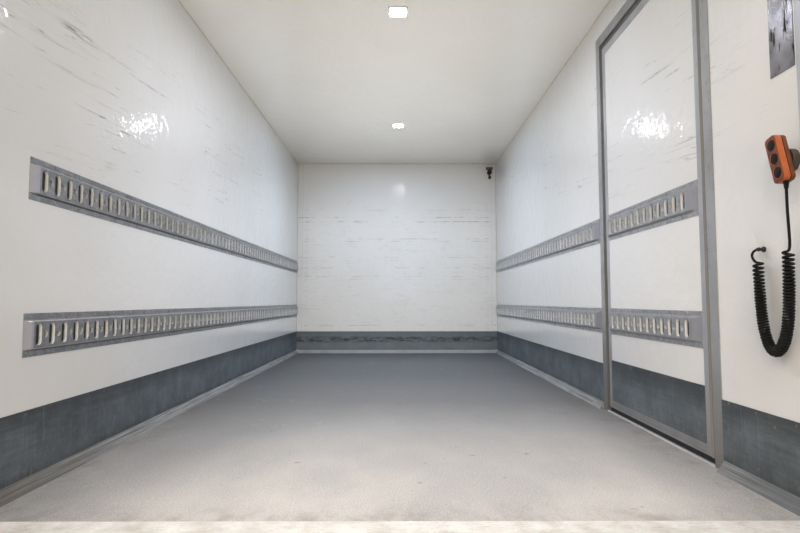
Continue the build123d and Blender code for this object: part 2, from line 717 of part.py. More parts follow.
# Lock rods and keepers are drawn with x towards the hinges, y away from the leaf and z from its foot
def lock_gear(leaf_height, below):
    lever_half = 11.0
    rod_length = leaf_height + below + ROD_ABOVE
    rod = Pos(0, 0, rod_length / 2 - below) * Cylinder(ROD_RADIUS, rod_length)
    cam = outline((0, -9), (26, -6), (30, 0), (26, 6), (0, 9))
    for low in (8 - below, leaf_height + ROD_ABOVE - 20):
        rod += Pos(0, 0, low) * extrude(cam, 12)
    hub = Pos(0, 0, HANDLE_HEIGHT) * Box(2 * ROD_RADIUS + 10, 2 * ROD_RADIUS + 10, 46)
    lever = outline(
        (0, -16),
        (0.4 * HANDLE_LENGTH, -lever_half),
        (HANDLE_LENGTH, -lever_half),
        (HANDLE_LENGTH + 9, 0),
        (HANDLE_LENGTH, lever_half),
        (0.4 * HANDLE_LENGTH, lever_half),
        (0, 16),
    )
    upright = Plane((0, 0, HANDLE_HEIGHT), x_dir=(1, 0, 0), z_dir=(0, -1, 0))
    pieces = [rod + hub + extrude(upright * lever, 5, both=True)]
    clamp_depth = ROD_STANDOFF + ROD_RADIUS + 5
    clamp = Pos(0, clamp_depth / 2 - ROD_STANDOFF, 0) * Box(62, clamp_depth, 30)
    clamp = chamfer(clamp.edges().filter_by(Axis.Z).sort_by(Axis.Y)[-2:], 10)
    clamp -= Box(2 * (ROD_RADIUS + GUIDE_GAP), 2 * (ROD_RADIUS + GUIDE_GAP), 40)
    for height in spread(3, 90, leaf_height - 90):
        pieces.append(Pos(0, 0, height) * clamp)
    catch_depth = ROD_STANDOFF + 8
    catch_top = HANDLE_HEIGHT - lever_half - GUIDE_GAP
    catch = Box(50, catch_depth, 18)
    catch = Pos(0.86 * HANDLE_LENGTH, catch_depth / 2 - ROD_STANDOFF, catch_top - 9) * catch
    pieces.append(chamfer(catch.edges().group_by(Axis.Z)[0].sort_by(Axis.Y)[-1], 6))
    return pieces


def keeper():
    """Channel that the rod's end and cam swing into; its base lies at y = 0."""
    base = Pos(6, 2.5, 0) * Box(80, 5, 36)
    cheek = outline((0, -18), (34, -18), (40, -8), (40, 8), (34, 18), (0, 18))
    side = Plane((0, 0, 0), x_dir=(0, 1, 0), z_dir=(1, 0, 0))
    cheeks = [Pos(x, 0, 0) * extrude(side * cheek, 6) for x in (-34, 40)]
    return base + cheeks[0] + cheeks[1]


def on_rear(shape, x, depth, z):
    """Sets a piece drawn in hinge-outward-up directions on the right half of the rear."""
    return Pos(*place((x, depth, z))) * mirror(shape, Plane.XZ)


def on_side(shape, x, depth, z):
    """Sets a piece drawn in hinge-outward-up directions on the right side."""
    return Pos(*place((x, depth, z))) * Rot(Z=90) * mirror(shape, Plane.XZ)


def lock_keepers():
    pieces = []
    for height in (LOAD_HEIGHT + 45, -32):
        pieces += both_sides(on_rear(keeper(), REAR_ROD_X, REAR_FACE, height))
    for height in (DOORWAY_TOP - 22, -46):
        pieces.append(on_side(keeper(), SKIN, LEAF_REAR - ROD_FROM_EDGE, height))
    return pieces


# Side door leaf, closed as it is stored
def side_door_field():
    """Depth and height ranges inside the leaf's edge frame."""
    depth = (LEAF_FRONT + SIDE_STILE, LEAF_REAR - SIDE_STILE)
    return depth, (LEAF_LOW + SIDE_BOTTOM_RAIL, LEAF_TOP - SIDE_TOP_RAIL)


def side_door_block(x, inset):
    return block(x, (LEAF_FRONT + inset, LEAF_REAR - inset), (LEAF_LOW + inset, LEAF_TOP - inset))


def side_door_edge_frame():
    depth, height = side_door_field()
    ring = side_door_block((LEAF_IN, SKIN), SEAL) - block((LEAF_IN, SKIN), depth, height)
    for low in (LEAF_LOW + 0.27 * SIDE_BOTTOM_RAIL, LEAF_LOW + 0.6 * SIDE_BOTTOM_RAIL):
        ring -= block((LEAF_IN, LEAF_IN + 3), depth, (low, low + 6))
    return ring


def side_door_panel():
    return block((DOOR_PANEL_IN, SKIN), *side_door_field())


def side_door_seal():
    x = (LEAF_IN + 12, LEAF_IN + 12 + SEAL_WIDTH)
    return side_door_block(x, 0) - side_door_block(x, SEAL)


def side_door_kick_plate():
    depth, height = side_door_field()
    return block((DOOR_PANEL_IN - KICK_SHEET, DOOR_PANEL_IN), depth, (height[0], DOOR_KICK_TOP))


def side_door_lashing_rails():
    depth, height = side_door_field()
    ends = (depth[0] + DOOR_RAIL_MARGIN, depth[1] - DOOR_RAIL_MARGIN)
    return [lashing_rail(DOOR_PANEL_IN, *ends, DOOR_END_PLATE, low) for low in RAIL_LEVELS]


def side_door_hinges():
    return [at_side_pin(side_strap(), height) for height in SIDE_HINGE_HEIGHTS]


def side_door_lock_gear():
    gear = lock_gear(LEAF_TOP - LEAF_LOW, SIDE_ROD_BELOW)
    return [on_side(piece, SKIN + ROD_STANDOFF, LEAF_REAR - ROD_FROM_EDGE, LEAF_LOW) for piece in gear]


# Right rear door leaf as it closes; it is stored open, and its twin is its mirror image
def rear_leaf_block(depth, inset):
    x = (REAR_DOOR_GAP / 2 + inset, LEAF_EDGE - inset)
    return block(x, depth, (REAR_DOOR_GAP + inset, REAR_LEAF_TOP - inset))


def rear_edge_frame():
    depth = (DOOR_INSIDE, DOOR_FACE)
    return [rear_leaf_block(depth, SEAL) - rear_leaf_block(depth, EDGE_FRAME_WIDTH)]


def rear_panel():
    return [rear_leaf_block((DOOR_INSIDE + PANEL_RECESS, DOOR_FACE), EDGE_FRAME_WIDTH)]


def rear_leaf_seal():
    depth = (DOOR_INSIDE + 6, DOOR_INSIDE + 6 + SEAL_WIDTH)
    return [rear_leaf_block(depth, 0) - rear_leaf_block(depth, SEAL)]


def rear_hinges():
    return [at_rear_pin(rear_strap(), height) for height in REAR_HINGE_HEIGHTS]


def rear_lock_gear():
    gear = lock_gear(REAR_LEAF_TOP - REAR_DOOR_GAP, REAR_ROD_BELOW)
    return [on_rear(piece, REAR_ROD_X, DOOR_FACE + ROD_STANDOFF, REAR_DOOR_GAP) for piece in gear]


def opened(pieces):
    """Right rear door pieces swung half a turn about their pin, straight out to the side."""
    pin = place((REAR_PIN_X, REAR_PIN_DEPTH, 0))
    return [Pos(pin.X, pin.Y, 0) * Rot(Z=180) * Pos(-pin.X, -pin.Y, 0) * piece for piece in pieces]


NODES = {
    "floor_panel": floor_panel,
    "left_wall": lambda: mirrored(side_wall()),
    "right_wall": right_wall,
    "front_wall": front_wall,
    "roof_panel": roof_panel,
    "roof_edge_profiles": roof_edge_profiles,
    "floor_edge_profiles": floor_edge_profiles,
    "front_corner_profiles": front_corner_profiles,
    "rear_frame": rear_frame,
    "rear_sill": rear_sill,
    "side_door_frame": side_door_frame,
    "left_lashing_rails": left_lashing_rails,
    "right_lashing_rails": right_lashing_rails,
    "kick_plates": kick_plates,
    "floor_coves": floor_coves,
    "ceiling_lamps": ceiling_lamps,
    "temperature_sensor": temperature_sensor,
    "wear_plate": wear_plate,
    "handset": handset,
    "handset_holder": handset_holder,
    "cord_gland": cord_gland,
    "cord_straight": lambda: tube(STRAIGHT_POINTS, CORD_RADIUS, "cord_straight"),
    "cord_coil": lambda: tube(COIL_POINTS, COIL_RADIUS, "cord_coil"),
    "cord_tail": lambda: tube(TAIL_POINTS, CORD_RADIUS, "cord_tail"),
    "subframe_runners": subframe_runners,
    "cross_members": cross_members,
    "mounting_brackets": mounting_brackets,
    "dock_buffers": dock_buffers,
    "front_marker_lamps": front_marker_lamps,
    "side_marker_lamps": side_marker_lamps,
    "rear_marker_lamps": rear_marker_lamps,
    "hinge_brackets": hinge_brackets,
    "lock_keepers": lock_keepers,
    "side_door_panel": side_door_panel,
    "side_door_edge_frame": side_door_edge_frame,
    "side_door_seal": side_door_seal,
    "side_door_kick_plate": side_door_kick_plate,
    "side_door_lashing_rails": side_door_lashing_rails,
    "side_door_hinges": side_door_hinges,
    "side_door_lock_gear": side_door_lock_gear,
}
REAR_LEAF_NODES = {
    "panel": rear_panel,
    "edge_frame": rear_edge_frame,
    "seal": rear_leaf_seal,
    "hinges": rear_hinges,
    "lock_gear": rear_lock_gear,
}


def write_node(name, shape):
    pieces = shape if isinstance(shape, list) else [shape]
    solids = [solid for piece in pieces for solid in piece.solids()]
    export_step(solids[0] if len(solids) == 1 else Compound(children=solids), f"parts/{name}.step")


os.makedirs("parts", exist_ok=True)
for name, make in NODES.items():
    write_node(name, make())
for name, make in REAR_LEAF_NODES.items():
    leaf_pieces = opened(make())
    write_node(f"right_rear_door_{name}", leaf_pieces)
    write_node(f"left_rear_door_{name}", [mirrored(piece) for piece in leaf_pieces])
for side, x in (("left", -REAR_PIN_X), ("right", REAR_PIN_X)):
    print(side, "rear door pin", [round(c / 1000, 5) for c in place((x, REAR_PIN_DEPTH, 0))])
print("side door pin", [round(c / 1000, 5) for c in place((SIDE_PIN_X, SIDE_PIN_DEPTH, 0))])
print("bulkhead face Y", round(BULKHEAD_Y / 1000, 5), "floor Z", FLOOR_Z / 1000)
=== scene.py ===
# %% [markdown]
# # Looks of an insulated truck load box
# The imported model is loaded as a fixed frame, and every finish and small piece is fitted to it in
# metres. X runs to the right side, Y to the bulkhead and Z up.

# %% Load the frame
import json
import math

import bmesh
import bpy
from mathutils import Matrix, Vector

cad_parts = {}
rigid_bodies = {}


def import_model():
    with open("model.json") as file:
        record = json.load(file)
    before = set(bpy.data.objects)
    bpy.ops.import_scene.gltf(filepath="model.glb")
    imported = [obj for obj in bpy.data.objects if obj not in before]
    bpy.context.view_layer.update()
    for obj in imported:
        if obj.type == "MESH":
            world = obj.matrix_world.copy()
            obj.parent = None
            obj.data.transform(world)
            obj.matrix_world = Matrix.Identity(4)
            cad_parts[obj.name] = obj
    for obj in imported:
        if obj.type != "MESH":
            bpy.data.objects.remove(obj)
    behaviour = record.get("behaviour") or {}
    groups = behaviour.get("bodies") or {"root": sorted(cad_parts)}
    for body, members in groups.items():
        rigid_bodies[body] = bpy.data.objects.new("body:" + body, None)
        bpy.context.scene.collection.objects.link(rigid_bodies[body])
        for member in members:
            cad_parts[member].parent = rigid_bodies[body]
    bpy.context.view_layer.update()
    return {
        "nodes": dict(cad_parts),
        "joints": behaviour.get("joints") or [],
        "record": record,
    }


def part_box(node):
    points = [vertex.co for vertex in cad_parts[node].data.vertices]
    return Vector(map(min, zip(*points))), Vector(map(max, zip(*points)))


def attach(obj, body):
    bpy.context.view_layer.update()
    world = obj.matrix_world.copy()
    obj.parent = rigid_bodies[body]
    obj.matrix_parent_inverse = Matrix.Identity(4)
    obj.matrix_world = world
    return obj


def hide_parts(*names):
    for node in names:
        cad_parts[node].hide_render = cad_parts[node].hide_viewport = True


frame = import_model()
nodes = frame["nodes"]
scene = bpy.context.scene


def put(name, data):
    """A new object in the scene."""
    piece = bpy.data.objects.new(name, data)
    scene.collection.objects.link(piece)
    return piece


def bake(piece):
    """The plain mesh that a curve or a modified object gives; the object itself goes."""
    bpy.context.view_layer.update()
    deps = bpy.context.evaluated_depsgraph_get()
    mesh = bpy.data.meshes.new_from_object(piece.evaluated_get(deps), depsgraph=deps)
    bpy.data.objects.remove(piece)
    return mesh


# %% [markdown]
# Places on the real box are read as three plain distances: how far right of the middle, how deep
# behind the bulkhead and how high above the floor. One function turns them into the frame's metres,
# so the numbers below stay real millimetres.

# %% Places
BULKHEAD_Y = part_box("front_wall")[0].y
FLOOR_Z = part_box("floor_panel")[1].z
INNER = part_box("floor_panel")[1].x * 1000
LOAD_LENGTH = (BULKHEAD_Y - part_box("floor_panel")[0].y) * 1000
LOAD_HEIGHT = (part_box("roof_panel")[0].z - FLOOR_Z) * 1000


def place(x, depth, height):
    """Millimetres right of the middle, behind the bulkhead and above the floor, as a point."""
    return Vector((x / 1000, BULKHEAD_Y - depth / 1000, FLOOR_Z + height / 1000))


def span(node):
    """Low and high ends of a node in millimetres: across, in depth and in height."""
    low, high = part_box(node)
    depth = ((BULKHEAD_Y - high.y) * 1000, (BULKHEAD_Y - low.y) * 1000)
    return (low.x * 1000, high.x * 1000), depth, ((low.z - FLOOR_Z) * 1000, (high.z - FLOOR_Z) * 1000)


print("inside", INNER * 2, LOAD_LENGTH, LOAD_HEIGHT)

# %% [markdown]
# The photograph was taken from outside the open rear doorway, a little over half a metre above the
# load floor, with a wide lens that looks slightly upwards. The camera stands at that same point.

# %% Camera
CAMERA_PLACE = (21.1, 5931.6, 557.4)
LENS = 24.56
SENSOR_WIDTH = 36.0
PITCH_UP = 3.645
YAW_RIGHT = 0.116
ROLL = 0.032


def make_camera():
    data = bpy.data.cameras.new("camera")
    data.lens = LENS
    data.sensor_width = SENSOR_WIDTH
    camera = put("camera", data)
    camera.location = place(*CAMERA_PLACE)
    camera.rotation_euler = (math.radians(90 + PITCH_UP), math.radians(ROLL), math.radians(-YAW_RIGHT))
    scene.camera = camera
    return camera


camera = make_camera()
scene.view_settings.view_transform = "Standard"
print("camera", [round(c, 3) for c in camera.location])

# %% [markdown]
# A material is a small network of nodes. One function adds a node with its settings and its links,
# and another turns a colour as a designer writes it into the linear values that the renderer uses.

# %% Colour and node helpers
MM = 0.001


def colour(code):
    """Linear colour from an sRGB hex value."""
    parts = [int(code[i:i + 2], 16) / 255 for i in (0, 2, 4)]
    return tuple(c / 12.92 if c <= 0.04045 else ((c + 0.055) / 1.055) ** 2.4 for c in parts) + (1.0,)


def add(tree, kind, inputs=None, **settings):
    """Adds a node, sets its settings, then fills or links its inputs by name or number."""
    made = tree.nodes.new(kind)
    for key, value in settings.items():
        setattr(made, key, value)
    for key, value in (inputs or {}).items():
        socket = made.inputs[key]
        for one in value if isinstance(value, tuple) else [value]:
            if isinstance(one, bpy.types.NodeSocket):
                tree.links.new(one, socket)
            else:
                socket.default_value = one
    return made


def out(tree, kind, inputs=None, **settings):
    """Adds a node and gives its first output."""
    return add(tree, kind, inputs, **settings).outputs[0]


def new_material(name, base, roughness, metallic=0.0, **sockets):
    """A material with its shader, its tree and the piece's own coordinates."""
    made = bpy.data.materials.new(name)
    made.use_nodes = True
    tree = made.node_tree
    shader = tree.nodes["Principled BSDF"]
    plain = {"Base_Color": colour(base), "Roughness": roughness, "Metallic": metallic, **sockets}
    for key, value in plain.items():
        shader.inputs[key.replace("_", " ")].default_value = value
    where = add(tree, "ShaderNodeTexCoord").outputs["Object"]
    return made, tree, shader, where


print("mid grey in linear light", round(colour("808080")[0], 3))

# %% [markdown]
# Dirt, wear and grain are patterns. They could be pictures laid over a piece, but a noise worked out
# from the piece's own coordinates needs no picture and keeps its real size, with its grain given in
# millimetres. A ramp turns it into colours, and a level picks out only its peaks.

# %% Patterns
def ramp(tree, value, stops):
    """Colour ramp through (position, hex colour) stops."""
    made = add(tree, "ShaderNodeValToRGB", {"Fac": value})
    elements = made.color_ramp.elements
    while len(elements) < len(stops):
        elements.new(0.5)
    for element, (position, code) in zip(elements, stops):
        element.position = position
        element.color = colour(code)
    return made.outputs["Color"]


def level(tree, value, low, high):
    """Rises from 0 to 1 as the value goes from low to high."""
    return out(tree, "ShaderNodeMapRange", {"Value": value, "From Min": low, "From Max": high})


def noise(tree, where, grain, detail=3.0, rough=0.55, stretch=(1, 1, 1)):
    """Noise whose grains are so many millimetres wide, stretched by whole factors along X, Y and Z."""
    turned = out(tree, "ShaderNodeMapping", {"Vector": where, "Scale": [1 / s for s in stretch]})
    sizes = {"Vector": turned, "Scale": 1 / (grain * MM), "Detail": detail, "Roughness": rough}
    return out(tree, "ShaderNodeTexNoise", sizes)


def mix(tree, factor, low, high, blend="MIX"):
    """Blends two colours, each a hex value or a socket."""
    made = add(tree, "ShaderNodeMix", data_type="RGBA", blend_type=blend)
    for socket, value in ((made.inputs[0], factor), (made.inputs[6], low), (made.inputs[7], high)):
        if isinstance(value, bpy.types.NodeSocket):
            tree.links.new(value, socket)
        else:
            socket.default_value = colour(value) if isinstance(value, str) else value
    return made.outputs[2]


print("patterns ready")

# %% [markdown]
# Where a mark lies is worked out by sums. A product keeps it only where all its parts agree, and the
# greatest of several lays them over one another without adding up, as dirt over dirt does.

# %% Sums on patterns
def maths(tree, operation, first, second=0.0, third=0.0):
    return out(tree, "ShaderNodeMath", {0: first, 1: second, 2: third}, operation=operation)


def scaled(tree, value, factor, start):
    """The value times the factor, plus the start."""
    return maths(tree, "MULTIPLY_ADD", value, factor, start)


def apart(tree, first, second):
    """How far apart two values are."""
    return maths(tree, "ABSOLUTE", maths(tree, "SUBTRACT", first, second))


def product(tree, *values):
    """All the values multiplied together."""
    result = values[0]
    for value in values[1:]:
        result = maths(tree, "MULTIPLY", result, value)
    return result


def greatest(tree, *values):
    result = values[0]
    for value in values[1:]:
        result = maths(tree, "MAXIMUM", result, value)
    return result


def vector(tree, x=0.0, y=0.0, z=0.0):
    return out(tree, "ShaderNodeCombineXYZ", {"X": x, "Y": y, "Z": z})


def split(tree, where):
    return add(tree, "ShaderNodeSeparateXYZ", {"Vector": where}).outputs


print("sums ready")

# %% [markdown]
# Two marks come back on many pieces. A scratch could be drawn as a line, but the level line of a
# stretched noise wanders and tapers as a real one does. A smear is an oval patch. Every finish ends
# in the same way, with its colour, its roughness and a relief.

# %% Scratches, smears and the end of a finish
def hairline(tree, value, width):
    """1 along the level line of a noise, fading to 0 within the width: a fine wandering scratch."""
    return level(tree, apart(tree, value, 0.5), width, 0.25 * width)


def blob(tree, point, middle, reach):
    """1 in the middle of an oval patch on two coordinates in metres, 0 outside it."""
    steps = [maths(tree, "SUBTRACT", at, centre) for at, centre in zip(point, middle)]
    far = vector(tree, *(maths(tree, "DIVIDE", step, half) for step, half in zip(steps, reach)))
    length = add(tree, "ShaderNodeVectorMath", {0: far}, operation="LENGTH").outputs["Value"]
    return level(tree, length, 1.0, 0.35)


def dress(made, shader, base, roughness=None, relief=None, depth=0.0):
    """Ends a finish: links its colour, its roughness and a relief so many millimetres deep."""
    tree = made.node_tree
    tree.links.new(base, shader.inputs["Base Color"])
    if roughness is not None:
        tree.links.new(roughness, shader.inputs["Roughness"])
    if relief is not None:
        normal = out(tree, "ShaderNodeBump", {"Height": relief, "Distance": depth * MM, "Strength": 1.0})
        for socket in ("Normal", "Coat Normal"):
            tree.links.new(normal, shader.inputs[socket])
    return made


print("marks ready")

# %% [markdown]
# The walls, the ceiling and the door leaves are sandwich panels faced with glass-fibre gelcoat, a
# sprayed skin. Loads have left marks on it: fine slanting scratches on the side walls, level rub
# lines on the bulkhead and a few dark smears. The scratches come by themselves from a noise, but the
# rub lines and smears that the eye would miss are placed one by one, from two short tables.

# %% Marks on the walls
# Each rub line is (height, half width, darkness), and each smear is (side, depth, height, half
# length, half width, darkness), in millimetres.
SCRATCH_SLANT = 0.085
WALL_FACE = (1.085, 1.096)
RUB_LINES = (
    (1630, 2.5, 0.35),
    (1556, 3.0, 0.45),
    (1473, 4.0, 0.75),
    (1425, 4.0, 0.95),
    (1237, 4.0, 0.55),
    (1210, 5.0, 0.40),
    (1037, 3.5, 0.45),
    (920, 4.0, 0.60),
    (828, 3.5, 0.50),
    (795, 3.0, 0.35),
    (298, 4.0, 0.55),
)
SMEARS = (
    (-1, 4090, 1486, 150, 17, 0.95),
    (-1, 3890, 1500, 230, 9, 0.55),
    (-1, 3560, 1510, 260, 8, 0.60),
    (-1, 4110, 1330, 200, 10, 0.30),
    (1, 3730, 1500, 200, 7, 0.85),
    (1, 3850, 1449, 70, 5, 0.95),
)


def side_marks(tree, x, y, slanted, along):
    """Slanting scratches where loads rub the side walls, and the smears of the table above."""
    scratch = hairline(tree, noise(tree, along, 46, 3, 0.6, (1, 34, 1)), 0.007)
    broken = level(tree, noise(tree, along, 150, 4, 0.65, (1, 3, 1)), 0.48, 0.60)
    handled = blob(tree, (y, slanted), (-0.6, FLOOR_Z + 1.46), (3.6, 0.40))
    seldom = product(tree, level(tree, x, 1.080, 1.082), level(tree, y, -1.75, -1.85))
    marks = product(tree, scratch, broken, handled, scaled(tree, seldom, -0.55, 0.75))
    tone = level(tree, noise(tree, along, 7, 3, 0.7, (1, 12, 1)), 0.40, 0.62)
    for side, depth, height, length, thick, dark in SMEARS:
        middle_y = BULKHEAD_Y - depth * MM
        middle = (middle_y, FLOOR_Z + height * MM - SCRATCH_SLANT * middle_y)
        smear = blob(tree, (y, slanted), middle, (length * MM, thick * MM))
        worn = product(tree, smear, tone, dark, maths(tree, "COMPARE", x, side, 0.2))
        marks = greatest(tree, marks, worn)
    return marks


def bulkhead_marks(tree, where, width, z):
    """Level rub lines across the bulkhead, broken in the middle and whole beside the walls."""
    gap = level(tree, noise(tree, where, 95, 4, 0.75, (2, 1, 1)), 0.47, 0.60)
    ends = product(tree, level(tree, width, 0.955, 0.975), level(tree, width, 1.010, 0.995))
    wandering = maths(tree, "ADD", z, scaled(tree, noise(tree, where, 300, 2, 0.5), 0.012, -0.006))
    fine = product(tree, hairline(tree, noise(tree, where, 26, 3, 0.65, (20, 1, 1)), 0.012), 0.35)
    rub = product(tree, fine, level(tree, z, FLOOR_Z + 1.7, FLOOR_Z + 1.5))
    for height, thick, dark in RUB_LINES:
        off = apart(tree, wandering, FLOOR_Z + height * MM)
        line = product(tree, level(tree, off, thick * MM, 0.3 * thick * MM), dark)
        rub = greatest(tree, rub, line)
    return product(tree, rub, greatest(tree, gap, ends))


print("rub lines", len(RUB_LINES), "smears", len(SMEARS))

# %% [markdown]
# Gelcoat is glossy and slightly wavy. A white base under a thin clear coat gives the lamps' sharp
# mirror images, and two noises, one coarse and one drawn out along the wall, raise its surface just
# enough to break them up. A plain white would look like paper.

# %% White gelcoat
GELCOAT_WHITE = "E8E7E5"
SCUFF_GREY = "5E5A58"


def make_gelcoat():
    name, gloss = "white_gelcoat", {"Coat_Weight": 1.0, "Coat_Roughness": 0.04}
    made, tree, shader, where = new_material(name, GELCOAT_WHITE, 0.34, **gloss)
    x, y, z = split(tree, where)
    width = maths(tree, "ABSOLUTE", x)
    within = maths(tree, "LESS_THAN", width, WALL_FACE[0])
    ahead = maths(tree, "LESS_THAN", y, BULKHEAD_Y + 0.001)
    beyond = maths(tree, "GREATER_THAN", width, WALL_FACE[0])
    on_side = product(tree, ahead, beyond, maths(tree, "LESS_THAN", width, WALL_FACE[1]))
    on_bulkhead = product(tree, maths(tree, "COMPARE", y, BULKHEAD_Y, 0.001), within)

    slanted = scaled(tree, y, -SCRATCH_SLANT, z)
    along = vector(tree, x, y, slanted)
    on_sides = product(tree, side_marks(tree, x, y, slanted, along), on_side)
    across = product(tree, bulkhead_marks(tree, where, width, z), on_bulkhead)
    joint = product(tree, level(tree, apart(tree, width, 1.031), 0.003, 0.001), on_bulkhead, 0.22)
    marks = greatest(tree, on_sides, across, joint)
    tint = ramp(tree, noise(tree, where, 700, 2), [(0.35, "E4E2DE"), (0.65, GELCOAT_WHITE)])
    tone = mix(tree, product(tree, marks, 0.8), tint, SCUFF_GREY)
    brushed = noise(tree, along, 11, 3, 0.6, (1, 5, 1))
    wave = scaled(tree, brushed, 0.16, noise(tree, where, 62, 3, 0.5))
    return dress(made, shader, tone, scaled(tree, marks, 0.3, 0.34), wave, 2.6)


gelcoat = make_gelcoat()
print("made", gelcoat.name)

# %% [markdown]
# The floor is a resin coat with fine grit rolled into it: matte, granular and grey. It runs lighter towards
# the sill and darker and bluer at the far end, a painted falloff of the daylight from the doorway, and it
# is darker beside the walls towards the rear as painted shade. Soft dark clouds show where pallets were
# dragged, and brown dirt gathers along the coves and at the sill.

# %% Floor coat
# Painted light: lighter towards the sill and darker and bluer at the far end, for the daylight falling off
# from the doorway.
PAINTED_DAYLIGHT_FALLOFF = [(0.10, "696B6D"), (0.38, "6C6D6E"), (0.63, "868584"), (0.80, "B2B1AF"), (0.97, "CDCBC8")]


def make_floor_coat():
    made, tree, shader, where = new_material("gritted_resin_floor", "8E9092", 0.6)
    x, y, _ = split(tree, where)
    depth = maths(tree, "SUBTRACT", BULKHEAD_Y, y)
    base = ramp(tree, maths(tree, "DIVIDE", depth, LOAD_LENGTH * MM), PAINTED_DAYLIGHT_FALLOFF)
    # Painted shade: darker beside both walls, from mid-length towards the rear.
    shade_beside_walls = greatest(tree, level(tree, x, -0.45, -0.85), product(tree, level(tree, x, 0.78, 1.02), 0.8))
    base = mix(tree, product(tree, shade_beside_walls, level(tree, depth, 1.6, 2.8), 0.33), base, "6B6A69")
    cloud = level(tree, noise(tree, where, 420, 4, 0.6, (1, 1.7, 1)), 0.38, 0.66)
    base = mix(tree, product(tree, cloud, 0.26), base, "74777A")
    grit = noise(tree, where, 5, 3, 0.75)
    speck = ramp(tree, grit, [(0.34, "3E3F41"), (0.50, "7F7F7F"), (0.66, "D2D0CC")])
    base = mix(tree, 0.38, base, speck, "OVERLAY")
    edge = level(tree, maths(tree, "ABSOLUTE", x), 0.90, 1.06)
    sill = level(tree, depth, 4.36, 4.50)
    stain = level(tree, noise(tree, where, 70, 5, 0.7, (1, 1.5, 1)), 0.44, 0.66)
    base = mix(tree, product(tree, greatest(tree, edge, sill), stain, 0.42), base, "6B5C4E")
    spots = level(tree, noise(tree, where, 52, 2, 0.5), 0.72, 0.78)
    base = mix(tree, product(tree, spots, 0.5), base, "5B5148")
    scratch = hairline(tree, noise(tree, where, 38, 3, 0.7, (1, 5, 1)), 0.008)
    seldom = level(tree, noise(tree, where, 160, 2, 0.6), 0.58, 0.66)
    base = mix(tree, product(tree, scratch, seldom, 0.4), base, "D0CDC8")
    return dress(made, shader, base, None, grit, 0.5)


floor_coat = make_floor_coat()
print("made", floor_coat.name)

# %% [markdown]
# The metal pieces differ in how they were made. Extruded and anodised profiles are satin, with die
# lines along their length. Hot-dip zinc on the rails, hinges and lock gear shows spangle. The kick
# sheets are zinc too, but years of wheels and wash water have turned them slate grey, blotchy and
# streaked, with a rubbed dark band at the bulkhead; the dark band and black edge along their top are
# painted shadow.

# %% Extrusions and zinc
def make_profile(name, base, dark, light, roughness, grime=0.3, metallic=0.45):
    """Anodised extrusion: even, with a little dirt and fine lines from the die."""
    made, tree, shader, where = new_material(name, base, roughness, metallic)
    cloud = noise(tree, where, 120, 3, 0.5, (1, 1, 3))
    tone = ramp(tree, cloud, [(0.34, dark), (0.50, base), (0.68, light)])
    lines = noise(tree, where, 6, 2, 0.5, (1, 1, 60))
    along = noise(tree, where, 6, 2, 0.5, (1, 60, 1))
    die = product(tree, lines, along)
    tone = mix(tree, product(tree, level(tree, die, 0.26, 0.34), 0.35), tone, light)
    dirt = level(tree, noise(tree, where, 45, 5, 0.75), 0.52, 0.72)
    splashed = level(tree, split(tree, where)["Z"], FLOOR_Z + 0.42, FLOOR_Z)
    dirt = greatest(tree, product(tree, dirt, grime), product(tree, splashed, 2.0 * grime))
    tone = mix(tree, dirt, tone, "6F6B66")
    nick = level(tree, noise(tree, where, 9, 4, 0.75, (1, 1, 3)), 0.71, 0.74)
    tone = mix(tree, product(tree, nick, 0.8), tone, "2B2A2A")
    return dress(made, shader, tone, scaled(tree, dirt, 0.15, roughness), die, 0.15)


def make_galvanised(name, low, middle, high, grime, roughness):
    """Hot-dip zinc: spangle crystals about a centimetre wide over a cool grey."""
    made, tree, shader, where = new_material(name, middle, roughness, 0.6)
    spangle = add(tree, "ShaderNodeTexVoronoi", {"Vector": where, "Scale": 1 / (9 * MM)}).outputs
    tone = ramp(tree, spangle["Color"], [(0.15, low), (0.50, middle), (0.85, high)])
    dirt = level(tree, noise(tree, where, 42, 5, 0.7), 0.42, 0.70)
    tone = mix(tree, product(tree, dirt, grime), tone, "55565A")
    rough = scaled(tree, dirt, 0.12, scaled(tree, spangle["Distance"], 0.15, roughness - 0.06))
    return dress(made, shader, tone, rough, noise(tree, where, 14, 2), 0.2)


print("profile and zinc recipes ready")
